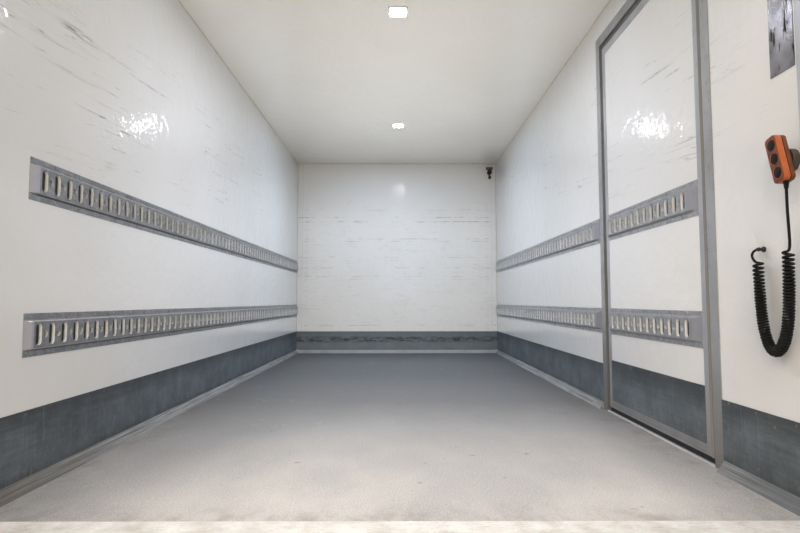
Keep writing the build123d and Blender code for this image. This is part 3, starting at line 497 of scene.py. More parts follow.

# %% [markdown]
# The kick sheet is the most worn metal here, so its finish is built up in the order in which it
# happened: zinc, blotches, runs of wash water, the dirty foot, and last the rubbed band and the
# scratches on the bulkhead. With the foot, a dark band and a black edge along the top are laid on as
# painted shadow. One even grey would look new.

# %% Kick sheet
def make_kick_sheet():
    made, tree, shader, where = new_material("slate_zinc_kick_sheet", "68727A", 0.44, 0.35)
    _, y, z = split(tree, where)
    cloud = noise(tree, where, 130, 5, 0.68)
    mottle = noise(tree, where, 14, 4, 0.7)
    tone = ramp(tree, cloud, [(0.33, "525A60"), (0.50, "666F76"), (0.68, "7A838A")])
    tone = mix(tree, product(tree, level(tree, mottle, 0.40, 0.70), 0.35), tone, "8B949A")
    runs = level(tree, noise(tree, where, 24, 4, 0.7, (1, 1, 12)), 0.58, 0.72)
    tone = mix(tree, product(tree, runs, 0.22), tone, "98A0A5")

    low = maths(tree, "SUBTRACT", z, FLOOR_Z)
    ragged = maths(tree, "ADD", low, scaled(tree, mottle, 0.022, -0.011))
    wiped = noise(tree, where, 16, 5, 0.75, (1, 14, 1))
    uneven = maths(tree, "ADD", low, scaled(tree, wiped, 0.10, -0.05))
    # Painted shadow: a soft dark band and a black edge along the top; the darker foot below is dirt.
    top = product(tree, level(tree, uneven, 0.150, 0.225), 0.55)
    edge = product(tree, level(tree, ragged, 0.222, 0.238), 0.6)
    foot = product(tree, level(tree, ragged, 0.062, 0.040), 0.4)
    tone = mix(tree, greatest(tree, top, edge, foot), tone, "2C2F31")
    near = product(tree, level(tree, y, -0.9, -2.2), level(tree, wiped, 0.25, 0.75))
    tone = mix(tree, product(tree, near, 0.75), tone, "434442")

    on_bulkhead = maths(tree, "LESS_THAN", apart(tree, y, BULKHEAD_Y), 0.0045)
    tone = mix(tree, product(tree, on_bulkhead, 0.40), tone, "9AA0A5")
    band = product(tree, level(tree, low, 0.105, 0.135), level(tree, low, 0.185, 0.165), on_bulkhead)
    torn = level(tree, noise(tree, where, 30, 5, 0.8, (4, 1, 1)), 0.42, 0.56)
    tone = mix(tree, product(tree, band, torn, 0.8), tone, "17191B")
    streak = hairline(tree, noise(tree, where, 11, 4, 0.7, (16, 16, 1)), 0.03)
    upright = hairline(tree, noise(tree, where, 60, 3, 0.6, (1, 1, 30)), 0.006)
    streak = greatest(tree, product(tree, streak, on_bulkhead, 0.5), product(tree, upright, 0.25))
    tone = mix(tree, streak, tone, "8E959A")
    return dress(made, shader, tone, scaled(tree, mottle, 0.35, 0.26), mottle, 0.18)


print("kick sheet recipe ready")

# %% [markdown]
# Four pieces have a metal of their own: the bright sheet beside the doorway, the ribbed cove, the
# whitened sill and the painted runners below. Each is a short recipe, because what wore them differs.

# %% Wear sheet, cove, sill and chassis paint
def make_wear_sheet():
    """Thin bright stainless sheet, glued on, a little dished and gouged black where chains hit it."""
    made, tree, shader, where = new_material("bright_stainless_sheet", "7C7B7F", 0.24, 1.0)
    gouge = level(tree, noise(tree, where, 16, 4, 0.75, (1, 1, 5)), 0.58, 0.63)
    cloud = ramp(tree, noise(tree, where, 60, 3), [(0.35, "757377"), (0.65, "9D9B9F")])
    tone = mix(tree, product(tree, gouge, 0.9), cloud, "1E1F21")
    return dress(made, shader, tone, scaled(tree, gouge, 0.4, 0.24), noise(tree, where, 70, 3, 0.55), 1.2)


def make_cove():
    """Ribbed cove extrusion: dull, with dirt lying along the ribs and browner towards the sill."""
    made, tree, shader, where = new_material("ribbed_cove", "9FA09F", 0.45, 0.3)
    x, y, _ = split(tree, where)
    ribs = noise(tree, where, 5, 2, 0.6, (1, 60, 1))
    tone = ramp(tree, ribs, [(0.36, "7E7F7E"), (0.52, "A0A1A0"), (0.68, "C2C3C3")])
    worn = level(tree, noise(tree, where, 60, 4, 0.7, (1, 3, 1)), 0.40, 0.70)
    tone = mix(tree, product(tree, worn, 0.35), tone, "6E6D6B")
    mud = mix(tree, level(tree, x, -0.2, 0.2), "5B554C", "61666A")
    near = product(tree, level(tree, y, -1.1, -2.1), 0.72)
    return dress(made, shader, mix(tree, near, tone, mud), None, ribs, 0.3)


def make_sill_metal():
    """Worn tread aluminium, whitened by grit and dry dust."""
    made, tree, shader, where = new_material("worn_sill_plate", "D9D5CE", 0.5, 0.25)
    cloud = noise(tree, where, 85, 4, 0.6)
    dust = ramp(tree, cloud, [(0.30, "CFC9C1"), (0.50, "E4E1DC"), (0.70, "F3F1EE")])
    rub = hairline(tree, noise(tree, where, 12, 3, 0.7, (6, 1, 1)), 0.02)
    tone = mix(tree, product(tree, rub, 0.35), dust, "8B8277")
    return dress(made, shader, tone, None, noise(tree, where, 4, 3), 0.4)


def make_chassis_paint():
    """Black brushed-on chassis paint with road dust on it."""
    made, tree, shader, where = new_material("black_chassis_paint", "242527", 0.45)
    dust = level(tree, noise(tree, where, 90, 5, 0.7), 0.45, 0.75)
    tone = mix(tree, product(tree, dust, 0.35), "1F2022", "6B655D")
    return dress(made, shader, tone, scaled(tree, dust, 0.3, 0.4), noise(tree, where, 6, 3), 0.25)


print("wear, cove, sill and chassis recipes ready")

# %% [markdown]
# Now each recipe is given its colours. The rails have zincs of their own on either side, lighter on
# the right flanges and webs: the left web is painted shade and the right one painted light, and the
# right end plate is a shaded copy of the left one. The end plates' zinc also paints a glint on the
# folds. The walls of the slots and holes that face the doorway are painted highlights, and a dark strip
# behind each slot is painted shadow.

# %% Metals
galvanised = make_galvanised("galvanised_steel", "989B9F", "ABAEB2", "BCBFC3", 0.40, 0.34)
# Lit and shaded copies of one zinc for either side: the darker left web is painted shade, the lighter right
# web painted light, and the right end plate a shaded copy. The end plates' zincs also give the folds a
# painted glint.
left_flange = make_galvanised("left_rail_flange", "919294", "9A9C9E", "A4A6A8", 0.40, 0.32)
right_flange = make_galvanised("right_rail_flange", "A8AAAD", "B2B4B7", "BDBFC2", 0.35, 0.30)
shaded_web_zinc = make_galvanised("dull_rail_web", "6E6F6E", "7A7B7A", "878887", 0.45, 0.38)
lit_web_zinc = make_galvanised("clean_rail_web", "A6A7A9", "AFB0B2", "B9BABC", 0.35, 0.36)
plate_zinc_and_fold_glint = make_profile("smooth_zinc_end", "B4B3BB", "ADACB4", "BBBAC2", 0.34, 0.08)
shaded_plate_zinc_and_fold_glint = make_profile("shaded_zinc_end", "9C9BA2", "96959C", "A4A3A9", 0.36, 0.10)
# Painted light in the slots: pale finishes for the slot and hole walls that face the doorway, and a dark
# strip behind each slot as painted shadow.
lit_slot_wall = make_profile("bright_slot_rim", "E6E8EC", "DADDE2", "F0F1F4", 0.50, 0.0, 0.0)
lit_hole_wall = make_profile("dull_hole_rim", "C2C3C6", "B6B7BA", "CECFD2", 0.50, 0.0, 0.0)
slot_shadow_strip = make_profile("dust_in_the_slots", "3C3A37", "353330", "454340", 0.80, 0.10, 0.0)
aluminium = make_profile("anodised_aluminium", "B4B6BA", "ABADB1", "BEC0C4", 0.36, 0.25)
frame_aluminium = make_profile("worn_frame_aluminium", "A6A7A8", "9B9B9B", "B1B3B5", 0.38, 0.35)
foot_metal = make_profile("bright_foot_strip", "CED1D4", "C4C7CA", "D8DBDE", 0.36, 0.05)
cove_aluminium = make_cove()
kick_metal = make_kick_sheet()
sill_metal = make_sill_metal()
wear_metal = make_wear_sheet()
chassis_paint = make_chassis_paint()
print("metals made")

# %% [markdown]
# Moulded plastics and rubber: a fine moulded grain breaks up the highlight, and dust lifts the
# colour a little where it settles. The lamp lens gives its own light, and its bezel only catches it.

# %% Plastics, rubber and lenses
LENS_STRENGTH = 100.0
DULL = {"Specular_IOR_Level": 0.3}


def make_moulded(name, base, light, roughness, grain=1.4, depth=0.08, **sockets):
    made, tree, shader, where = new_material(name, base, roughness, **sockets)
    tone = ramp(tree, noise(tree, where, 25, 4, 0.6), [(0.38, base), (0.75, light)])
    return dress(made, shader, tone, None, noise(tree, where, grain, 2), depth)


def make_seal_lighter_to_rear():
    """Rubber lip of the side door, grey-brown, turning lighter and browner towards the rear in patches."""
    made, tree, shader, where = new_material("dusty_seal_rubber", "4A4640", 0.7)
    towards_rear = level(tree, split(tree, where)["Y"], -1.2, -1.7)
    patchy = scaled(tree, noise(tree, where, 30, 4, 0.7), 0.5, 0.6)
    tone = mix(tree, product(tree, towards_rear, patchy), "62605D", "88837C")
    return dress(made, shader, tone, None, noise(tree, where, 5, 3), 0.2)


def make_lamp_lens():
    """Milky polycarbonate over white diodes."""
    made, tree, shader, where = new_material(
        "lit_milky_lens", "F6F8FF", 0.3, Emission_Color=colour("EEF3FF"), Emission_Strength=LENS_STRENGTH
    )
    dust = ramp(tree, noise(tree, where, 18, 3), [(0.35, "ECEEF6"), (0.65, "F8FAFF")])
    return dress(made, shader, dust)


black_plastic = make_moulded("black_nylon", "1B1B1D", "2C2C2E", 0.42)
button_rubber = make_moulded("black_button_rubber", "0C0C0D", "181819", 0.5, **DULL)
sensor_plastic = make_moulded("grey_nylon", "55585B", "6A6D70", 0.5)
holder_plastic = make_moulded("dusty_brown_nylon", "3B3632", "4C463F", 0.5)
rubber = make_moulded("epdm_rubber", "1E1E1F", "343332", 0.62)
door_seal = make_seal_lighter_to_rear()
cord_jacket = make_moulded("polyurethane_jacket", "0A0A0A", "131313", 0.42, 1.0, 0.03, **DULL)
# The handset's flat front face and its back half take darker copies of the orange: painted shade.
orange_shell = make_moulded("orange_abs", "A8562E", "B5653A", 0.36)
shaded_orange_face = make_moulded("grimy_orange_abs", "7C4024", "52301D", 0.45)
orange_back = make_moulded("shaded_orange_abs", "6E3A20", "4E2C1B", 0.45)
lamp_case = make_moulded("white_polycarbonate", "DCDCE6", "E8E8F0", 0.28)
sealant = make_moulded("old_silicone_sealant", "CFC9BC", "BDB39F", 0.45, 5.0, 0.3)
clear_lens = make_moulded("clear_lens", "DADDE2", "F0F2F4", 0.10, 4.0, 0.2)
amber_lens = make_moulded("amber_lens", "D97A12", "E8941F", 0.10, 4.0, 0.2)
red_lens = make_moulded("red_lens", "A91512", "C22620", 0.10, 4.0, 0.2)
lamp_lens = make_lamp_lens()
print("plastics made")

# %% [markdown]
# Each CAD node keeps its shape and takes the finish of its record slot. Two nodes share a slot but
# not a look: the coves are dirtier than the other profiles, and the side door's seal turns lighter and
# browner towards the rear.

# %% Finish of the carried-over pieces
FINISH = {
    "white_gelcoat": gelcoat,
    "floor_coating": floor_coat,
    "aluminium_profile": aluminium,
    "galvanised_steel": galvanised,
    "sill_steel": sill_metal,
    "kick_sheet": kick_metal,
    "seal_rubber": rubber,
    "lamp_case": lamp_case,
    "sensor_grey": sensor_plastic,
    "wear_steel": wear_metal,
    "handset_orange": orange_shell,
    "black_plastic": black_plastic,
    "cord_black": cord_jacket,
    "chassis_steel": chassis_paint,
    "lamp_clear": clear_lens,
    "lamp_amber": amber_lens,
    "lamp_red": red_lens,
}
OWN_FINISH = {
    "floor_coves": cove_aluminium,
    "side_door_frame": frame_aluminium,
    "side_door_seal": door_seal,
    "handset_holder": holder_plastic,
}


def paint(piece, material):
    piece.data.materials.clear()
    piece.data.materials.append(material)


for part in frame["record"]["subparts"]:
    paint(nodes[part["node"]], OWN_FINISH.get(part["node"], FINISH[part["material_slot"]]))

# %% [markdown]
# The curly cord runs straight down from the handset, hangs in a loop as a coil, and ends in a short
# tail into its clip on the wall. Its route's points repeat the model's, off the right wall, ahead of
# the rear frame and above the floor. A spline makes a smooth line of them.

# %% Cord route
STRAIGHT_POINTS = ((43.5, -2, 854), (42.5, 0, 800), (34.5, 8, 746), (25.5, 19, 691))
COIL_POINTS = (
    (24.5, 29, 691),
    (24.5, 30, 580),
    (24.5, 43, 474),
    (24.5, 75, 418),
    (24.5, 111, 416),
    (24.5, 140, 472),
    (24.5, 151, 570),
    (24.5, 153, 670),
)
TAIL_POINTS = ((23.5, 164, 670), (21.5, 178, 679), (19.5, 188, 692), (17.5, 181, 706), (16.5, 165, 708))


def beside_frame(off_wall, ahead, height):
    """A point given off the right wall, ahead of the rear frame and above the floor."""
    return place(INNER - off_wall, LOAD_LENGTH - ahead, height)


def spline_curve(name, points, resolution, radius=0.0):
    """A smooth NURBS curve with the points as its control points."""
    data = bpy.data.curves.new(name, "CURVE")
    data.dimensions = "3D"
    data.bevel_depth = radius
    data.bevel_resolution = 2
    data.use_fill_caps = radius > 0
    spline = data.splines.new("NURBS")
    spline.points.add(len(points) - 1)
    for control, point in zip(spline.points, points):
        control.co = (*point, 1.0)
    spline.order_u = 3
    spline.use_endpoint_u = True
    spline.resolution_u = resolution
    return put(name, data)


def line_of(points, resolution=40):
    """Points read from the smooth line that a route's control points give."""
    mesh = bake(spline_curve("route", points, resolution))
    line = [v.co.copy() for v in mesh.vertices]
    bpy.data.meshes.remove(mesh)
    return line


print("cord points", len(STRAIGHT_POINTS), len(COIL_POINTS), len(TAIL_POINTS))

# %% [markdown]
# The coil is a helix round a line that bends. A straight helix bent by a modifier would stretch on
# the outside of the bend, so the turns are worked out along the line instead: the way aside is
# carried on from step to step, and the angle grows by a turn for each pitch. They are looser near
# the coil's two ends, where it hangs, and closer between them.

# %% Coil turns
CORD_RADIUS = 3.75
COIL_RADIUS = 14.6
TURN_POINTS = 12
LOOSE_PITCH = 14.0
CLOSE_PITCH = 8.0


def coil_frames(axis, start):
    """Point, way ahead, way aside and angle turned so far, at each point of the coil's axis."""
    steps = [(b - a).length for a, b in zip(axis, axis[1:])]
    ahead = (axis[1] - axis[0]).normalized()
    side = start - axis[0]
    side = (side - ahead * side.dot(ahead)).normalized()
    travelled, phase = 0.0, 0.0
    frames = [(axis[0], ahead, side, 0.0)]
    for a, b, step in zip(axis, axis[1:], steps):
        ahead = (b - a).normalized()
        side = (side - ahead * side.dot(ahead)).normalized()
        travelled += step
        share = abs(2 * travelled / sum(steps) - 1)
        pitch = CLOSE_PITCH + (LOOSE_PITCH - CLOSE_PITCH) * share**5
        phase += math.tau * step / (pitch * MM)
        frames.append((b, ahead, side, phase))
    return frames


def coil_turns(axis, start, end):
    """Helix round an axis line, from beside the start point to beside the end point."""
    frames = coil_frames(axis, start)
    last, ahead, side, phase = frames[-1]
    goal = end - last
    goal_phase = math.atan2(goal.dot(ahead.cross(side)), goal.dot(side))
    stretch = (goal_phase + math.tau * round((phase - goal_phase) / math.tau)) / phase
    radius = (COIL_RADIUS - CORD_RADIUS) * MM / math.cos(math.pi / TURN_POINTS) ** 2
    count = int(phase * stretch / math.tau * TURN_POINTS)
    points = []
    reach = 0
    for i in range(count + 1):
        wanted = i * phase / count
        while reach < len(frames) - 2 and frames[reach + 1][3] < wanted:
            reach += 1
        before, after = frames[reach], frames[reach + 1]
        t = (wanted - before[3]) / (after[3] - before[3])
        centre, ahead, side = (before[k].lerp(after[k], t) for k in range(3))
        ahead.normalize()
        side.normalize()
        angle = wanted * stretch
        swell = 1 + 0.025 * math.sin(0.37 * angle) + 0.02 * math.sin(0.11 * angle + 1)
        way = side * math.cos(angle) + ahead.cross(side) * math.sin(angle)
        points.append(centre + way * radius * swell)
    print("coil turns", round(phase * stretch / math.tau, 1), "points", len(points))
    return points


print("turns are", CLOSE_PITCH, "to", LOOSE_PITCH, "mm apart")

# %% [markdown]
# The three stretches become one open spline with a round section, which replaces the model's plain
# pieces. Its length is measured along the finished line.

# %% Curly cord
def make_cord():
    straight = [beside_frame(*p) for p in STRAIGHT_POINTS]
    tail = [beside_frame(*p) for p in TAIL_POINTS]
    turns = coil_turns(line_of([beside_frame(*p) for p in COIL_POINTS]), straight[-1], tail[0])
    points = straight + turns[2:-2] + tail
    cord = spline_curve("curly_cord", points, 3, CORD_RADIUS * MM)
    cord.data.materials.append(cord_jacket)
    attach(cord, "box_body")
    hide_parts("cord_straight", "cord_coil", "cord_tail")
    line = line_of(points, 3)
    return cord, sum((b - a).length for a, b in zip(line, line[1:]))


cord, cord_length = make_cord()
print("cord length", round(cord_length, 3), "m")

# %% [markdown]
# Small pieces are built as skins between rings of points. One helper joins rings and caps their
# ends, and others give the two rings that are wanted most: a circle and a rounded rectangle. Cubes
# and cylinders could be joined instead, but rings give round corners and folds without a cut.

# %% Rings and skins
def loft(shape, rings, finish=0):
    """Joins rings of points into one closed skin with flat ends."""
    loops = [[shape.verts.new(point) for point in ring] for ring in rings]
    made = [shape.faces.new(loops[0][::-1]), shape.faces.new(loops[-1])]
    for low, high in zip(loops, loops[1:]):
        for i, j in zip(range(len(low)), [*range(1, len(low)), 0]):
            made.append(shape.faces.new((low[i], low[j], high[j], high[i])))
    for face in made:
        face.material_index = finish
    return made


def box(shape, x, depth, height, finish=0):
    """Plain block between two places."""
    ring = ((x[0], height[0]), (x[1], height[0]), (x[1], height[1]), (x[0], height[1]))
    loft(shape, [[place(a, d, h) for a, h in ring] for d in depth], finish)


def circle(centre, across, up, radius, sides):
    turns = [math.tau * i / sides for i in range(sides)]
    return [centre + (across * math.cos(t) + up * math.sin(t)) * radius * MM for t in turns]


def rounded(centre, across, up, half_across, half_up, radius, steps=4):
    """Ring of a rectangle with round corners, in millimetres about its centre."""
    ring = []
    for quarter, (sx, sy) in enumerate(((1, 1), (-1, 1), (-1, -1), (1, -1))):
        for i in range(steps + 1):
            turn = math.radians(90 * (quarter + i / steps))
            a = sx * (half_across - radius) + radius * math.cos(turn)
            b = sy * (half_up - radius) + radius * math.sin(turn)
            ring.append(centre + (across * a + up * b) * MM)
    return ring


def turned(shape, centre, axis, profile, sides=24, finish=0):
    """Round piece from (radius, distance along the axis) pairs."""
    across = axis.orthogonal().normalized()
    up = axis.cross(across)
    rings = [circle(centre + axis * along * MM, across, up, radius, sides) for radius, along in profile]
    loft(shape, rings, finish)


print("ring helpers ready")

# %% [markdown]
# Every shape is finished in the same way: points that meet are merged, the faces are turned
# outwards, and the piece gets its finish and rides on the body it moves with. One helper does it
# all, so no piece can be left without a body.

# %% Finished pieces
def smooth_over(mesh, degrees):
    """Shades the mesh smooth except where faces meet more sharply than this."""
    mesh.shade_smooth()
    mesh.set_sharp_from_angle(angle=math.radians(degrees))


def skin(name, shape, smooth=0):
    """Turns the faces outwards and gives the plain mesh."""
    bmesh.ops.remove_doubles(shape, verts=shape.verts, dist=1e-6)
    bmesh.ops.recalc_face_normals(shape, faces=shape.faces)
    mesh = bpy.data.meshes.new(name)
    shape.to_mesh(mesh)
    shape.free()
    if smooth:
        smooth_over(mesh, smooth)
    return mesh


def hang(name, made, finishes, body, replaces=(), smooth=0):
    """Makes a mesh, or a shape still being drawn, a piece of the object, riding on its body."""
    mesh = skin(name, made, smooth) if isinstance(made, bmesh.types.BMesh) else made
    piece = put(name, mesh)
    kept = [face.material_index for face in mesh.polygons]
    mesh.materials.clear()
    for finish in finishes:
        mesh.materials.append(finish)
    mesh.polygons.foreach_set("material_index", kept)
    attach(piece, body)
    if replaces:
        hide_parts(*replaces)
    return piece


ACROSS, REARWARD, UP = Vector((1, 0, 0)), Vector((0, -1, 0)), Vector((0, 0, 1))
print("mesh helpers ready")

# %% [markdown]
# What repeats is made by Geometry Nodes: a tree with named sizes runs on a small mesh, and its
# result is baked to a plain one. The rails' slots, the fasteners and the lamps' ribs share it.

# %% Geometry Nodes helpers
def new_tree(name, **inputs):
    """Geometry tree with named inputs; gives the tree and its input sockets."""
    tree = bpy.data.node_groups.new(name, "GeometryNodeTree")
    tree.interface.new_socket("Geometry", in_out="INPUT", socket_type="NodeSocketGeometry")
    for label, kind in inputs.items():
        tree.interface.new_socket(label.replace("_", " "), in_out="INPUT", socket_type="NodeSocket" + kind)
    tree.interface.new_socket("Geometry", in_out="OUTPUT", socket_type="NodeSocketGeometry")
    return tree, tree.nodes.new("NodeGroupInput").outputs


def end_tree(tree, geometry, finish):
    """Realizes the copies, gives them their material and ends the tree."""
    real = out(tree, "GeometryNodeRealizeInstances", {"Geometry": geometry})
    done = out(tree, "GeometryNodeSetMaterial", {"Geometry": real, "Material": finish})
    add(tree, "NodeGroupOutput", {"Geometry": done})


def grow(tree, mesh, **inputs):
    """Runs a tree on a mesh with the given inputs and bakes the result."""
    holder = put(tree.name, mesh)
    modifier = holder.modifiers.new(tree.name, "NODES")
    modifier.node_group = tree
    for item in tree.interface.items_tree:
        key = item.name.replace(" ", "_")
        if item.in_out == "INPUT" and key in inputs:
            modifier[item.identifier] = inputs[key]
    return bake(holder)


print("trees ready")

# %% [markdown]
# The lashing rails are pressed steel: a hat section with thin flanges against the wall and a web
# that stands about a centimetre proud, pierced by upright slots with a round hole between each two.
# The web is a filled outline, so that slots and holes are true openings. Each has a deep rim; its walls
# that face the doorway take pale finishes as a painted highlight, and a dark strip behind each slot is
# painted shadow.

# %% Slotted web tree
def make_web_tree():
    sizes = dict.fromkeys(("Length", "Height", "Thickness", "Pitch", "Slot_Width", "Slot_Height"), "Float")
    sizes.update(Hole_Radius="Float", First="Float", Count="Int", Finish="Material")
    tree, given = new_tree("slotted_web", **sizes)
    half_length, half_height = (maths(tree, "MULTIPLY", given[name], 0.5) for name in ("Length", "Height"))

    def rectangle(width, height):
        return out(tree, "GeometryNodeCurvePrimitiveQuadrilateral", {"Width": width, "Height": height})

    def row(curve, first, count):
        start, step = vector(tree, first, half_height), vector(tree, given["Pitch"])
        places = {"Count": count, "Start Location": start, "Offset": step}
        line = out(tree, "GeometryNodeMeshLine", places)
        return out(tree, "GeometryNodeInstanceOnPoints", {"Points": line, "Instance": curve})

    sheet = rectangle(given["Length"], given["Height"])
    middle = vector(tree, half_length, half_height)
    outline = out(tree, "GeometryNodeTransform", {"Geometry": sheet, "Translation": middle})
    slot = rectangle(given["Slot Width"], given["Slot Height"])
    ends = maths(tree, "MULTIPLY", given["Slot Width"], 0.499)
    rounding = {"Curve": slot, "Count": 3, "Radius": ends, "Limit Radius": True}
    round_slot = out(tree, "GeometryNodeFilletCurve", rounding, mode="POLY")
    ring = {"Resolution": 10, "Radius": given["Hole Radius"]}
    hole = out(tree, "GeometryNodeCurvePrimitiveCircle", ring, mode="RADIUS")
    between = scaled(tree, given["Pitch"], 0.5, given["First"])
    slots = row(round_slot, given["First"], given["Count"])
    holes = row(hole, between, maths(tree, "SUBTRACT", given["Count"], 1.0))
    curves = out(tree, "GeometryNodeJoinGeometry", {"Geometry": (outline, slots, holes)})
    real = out(tree, "GeometryNodeRealizeInstances", {"Geometry": curves})
    flat = out(tree, "GeometryNodeFillCurve", {"Curve": real}, mode="TRIANGLES")
    thick = {"Mesh": flat, "Offset Scale": given["Thickness"], "Individual": False}
    raised = out(tree, "GeometryNodeExtrudeMesh", thick)
    back = out(tree, "GeometryNodeFlipFaces", {"Mesh": flat})
    both = out(tree, "GeometryNodeJoinGeometry", {"Geometry": (raised, back)})
    closed = out(tree, "GeometryNodeMergeByDistance", {"Geometry": both, "Distance": 0.00001})
    end_tree(tree, closed, given["Finish"])
    return tree


web_tree = make_web_tree()
print("web tree nodes", len(web_tree.nodes))

# %% [markdown]
# The sizes are those of the real pattern: 130 mm high, with slots 63.5 mm apart. The tree runs once
# for each rail's length. The walls of its openings that face the doorway are then marked, because
# they catch the daylight and need a brighter finish than the web.

# %% Rail sizes and web
RAIL_HEIGHT = 130.0
RAIL_FLANGE = 17.0
RAIL_PROUD = 11.0
RAIL_SHEET = 1.6
RAIL_SLOPE = 6.3
RAIL_LEVELS = (391.8, 863.8)
RAIL_ENDS = {"left_lashing_rails": 34.0, "right_lashing_rails": 74.0, "side_door_lashing_rails": 63.0}
RAIL_FOOT = RAIL_FLANGE + RAIL_SLOPE + 2.0
SLOT_PITCH = 63.5
SLOT_SIZE = (28.0, 69.0)
SLOT_RIM = 10.0
FIRST_SLOT = 0.35
HOLE_RADIUS = 11.0
# A dark strip behind each slot, painted shadow: how far proud it stands and its half length.
SHADOW_STRIP_PROUD = (0.2, 0.7)
SHADOW_STRIP_HALF = 18.0
BEND = 3.6
FLANGE_FOLD = (
    (0, 0),
    (RAIL_SHEET, 0),
    (RAIL_SHEET, RAIL_FLANGE),
    (RAIL_PROUD - 2.6, RAIL_FOOT - BEND),
    (RAIL_PROUD, RAIL_FOOT),
    (RAIL_PROUD - RAIL_SHEET, RAIL_FOOT),
    (0, RAIL_FLANGE + 1.5),
)
SLOPE_FACE, BEND_FACE = 4, 5
WEB, FLANGE, PLATE_AND_FOLD_GLINT, LIT_RIM, SHADOW_STRIP, LIT_HOLE = range(6)
LEFT_RAIL = (shaded_web_zinc, left_flange, plate_zinc_and_fold_glint, lit_slot_wall, slot_shadow_strip, lit_hole_wall)
RIGHT_RAIL = (lit_web_zinc, right_flange, shaded_plate_zinc_and_fold_glint, lit_slot_wall, slot_shadow_strip, lit_hole_wall)


def mirrored(outline):
    """The same outline for the rail's upper half."""
    return [(proud, RAIL_HEIGHT - height) for proud, height in outline]


def slotted_web(length, count, finish):
    """The web lying flat, its slot and hole walls that face the doorway marked for their painted highlight.
    """
    web = grow(
        web_tree,
        bpy.data.meshes.new("web_seed"),
        Length=length * MM,
        Height=(RAIL_HEIGHT - 2 * RAIL_FOOT) * MM,
        Thickness=SLOT_RIM * MM,
        Pitch=SLOT_PITCH * MM,
        Slot_Width=SLOT_SIZE[0] * MM,
        Slot_Height=SLOT_SIZE[1] * MM,
        Hole_Radius=HOLE_RADIUS * MM,
        First=FIRST_SLOT * SLOT_PITCH * MM,
        Count=count,
        Finish=finish,
    )
    shape = bmesh.new()
    shape.from_mesh(web)
    bpy.data.meshes.remove(web)
    for face in shape.faces:
        pitches = face.calc_center_median().x / MM / SLOT_PITCH - FIRST_SLOT
        from_slot = abs(pitches - round(pitches)) * SLOT_PITCH
        # Slot and hole walls facing the doorway take pale finishes: painted highlight.
        if face.normal.x < -0.3:
            face.material_index = LIT_RIM if from_slot < 0.5 * SLOT_SIZE[0] + 1 else LIT_HOLE
    return shape


print("rail foot", RAIL_FOOT, "web height", round(RAIL_HEIGHT - 2 * RAIL_FOOT, 1))

# %% [markdown]
# Each rail joins its web to two folded flanges and to the smooth plate that ramps down to the wall
# at the rear end. The folds are outlines drawn along the rail, since pressed sheet has the same
# section all the way. The places come from the CAD nodes, which the rails replace.

# %% Lashing rails
def make_rail(name, node, low, body):
    """One rail with its web, both folds, its ramped end and a dark strip behind its slots as painted
    shadow.
    """
    x, depth, height = span(node)
    side = 1 if x[1] > 0 else -1
    wall = x[1] if side > 0 else x[0]
    plate_length = RAIL_ENDS[node]
    web_end = depth[1] - plate_length

    def at(proud, d, h):
        return place(wall - side * proud, d, low + h)

    finishes = LEFT_RAIL if side < 0 else RIGHT_RAIL
    room = web_end - FIRST_SLOT * SLOT_PITCH - depth[0] - SLOT_SIZE[0]
    count = int(room // SLOT_PITCH) + 1
    shape = slotted_web(web_end - depth[0], count, finishes[WEB])
    nearest = min(v.co.z for v in shape.verts)
    for v in shape.verts:
        along, up, thick = v.co.x / MM, v.co.y / MM, (v.co.z - nearest) / MM
        v.co = at(RAIL_PROUD - SLOT_RIM + thick, web_end - along, RAIL_FOOT + up)
    # A dark strip behind each slot stands for the shadow there: painted shadow.
    dust = [(SHADOW_STRIP_PROUD[0], RAIL_FOOT), (SHADOW_STRIP_PROUD[1], RAIL_FOOT)]
    dust += mirrored(dust[::-1])
    for i in range(count):
        middle = web_end - (FIRST_SLOT + i) * SLOT_PITCH
        loft(shape, [[at(p, middle + d, h) for p, h in dust] for d in (-SHADOW_STRIP_HALF, SHADOW_STRIP_HALF)], SHADOW_STRIP)
    # Each lower slope takes the web's zinc, a painted shade on the left rails, and each bend takes the end
    # plate's zinc as a painted glint.
    for slope, fold in ((WEB, FLANGE_FOLD), (FLANGE, mirrored(FLANGE_FOLD))):
        faces = loft(shape, [[at(p, d, h) for p, h in fold] for d in (depth[0], web_end)], FLANGE)
        faces[SLOPE_FACE].material_index = slope
        faces[BEND_FACE].material_index = PLATE_AND_FOLD_GLINT
    hat = [*FLANGE_FOLD[:5], *mirrored(FLANGE_FOLD[4::-1])]
    flat = [(min(p, RAIL_SHEET), h) for p, h in hat]
    steps = ((0.0, hat), (0.3 * plate_length, hat), (plate_length, flat))
    for face in loft(shape, [[at(p, web_end + step, h) for p, h in ring] for step, ring in steps], PLATE_AND_FOLD_GLINT):
        height = (face.calc_center_median().z - FLOOR_Z) / MM - low
        if not RAIL_FOOT - BEND <= height <= RAIL_HEIGHT - RAIL_FOOT + BEND:
            face.material_index = FLANGE
    hang(name, shape, finishes, body, (node,))
    return count


slot_count = 0
for node, body in (
    ("left_lashing_rails", "box_body"),
    ("right_lashing_rails", "box_body"),
    ("side_door_lashing_rails", "side_door"),
):
    for label, low in zip(("lower", "upper"), RAIL_LEVELS):
        slot_count += make_rail(f"{node[:-1]}_{label}", node, low, body)
print("rail slots", slot_count)

# %% [markdown]
# Hundreds of fasteners hold the box together. Each kind of head is drawn once, small and plain, and
# Geometry Nodes copies it to a list of places, turned to face the way stored with each place and
# spun by a seeded random angle. Every body gets its own mesh of heads.

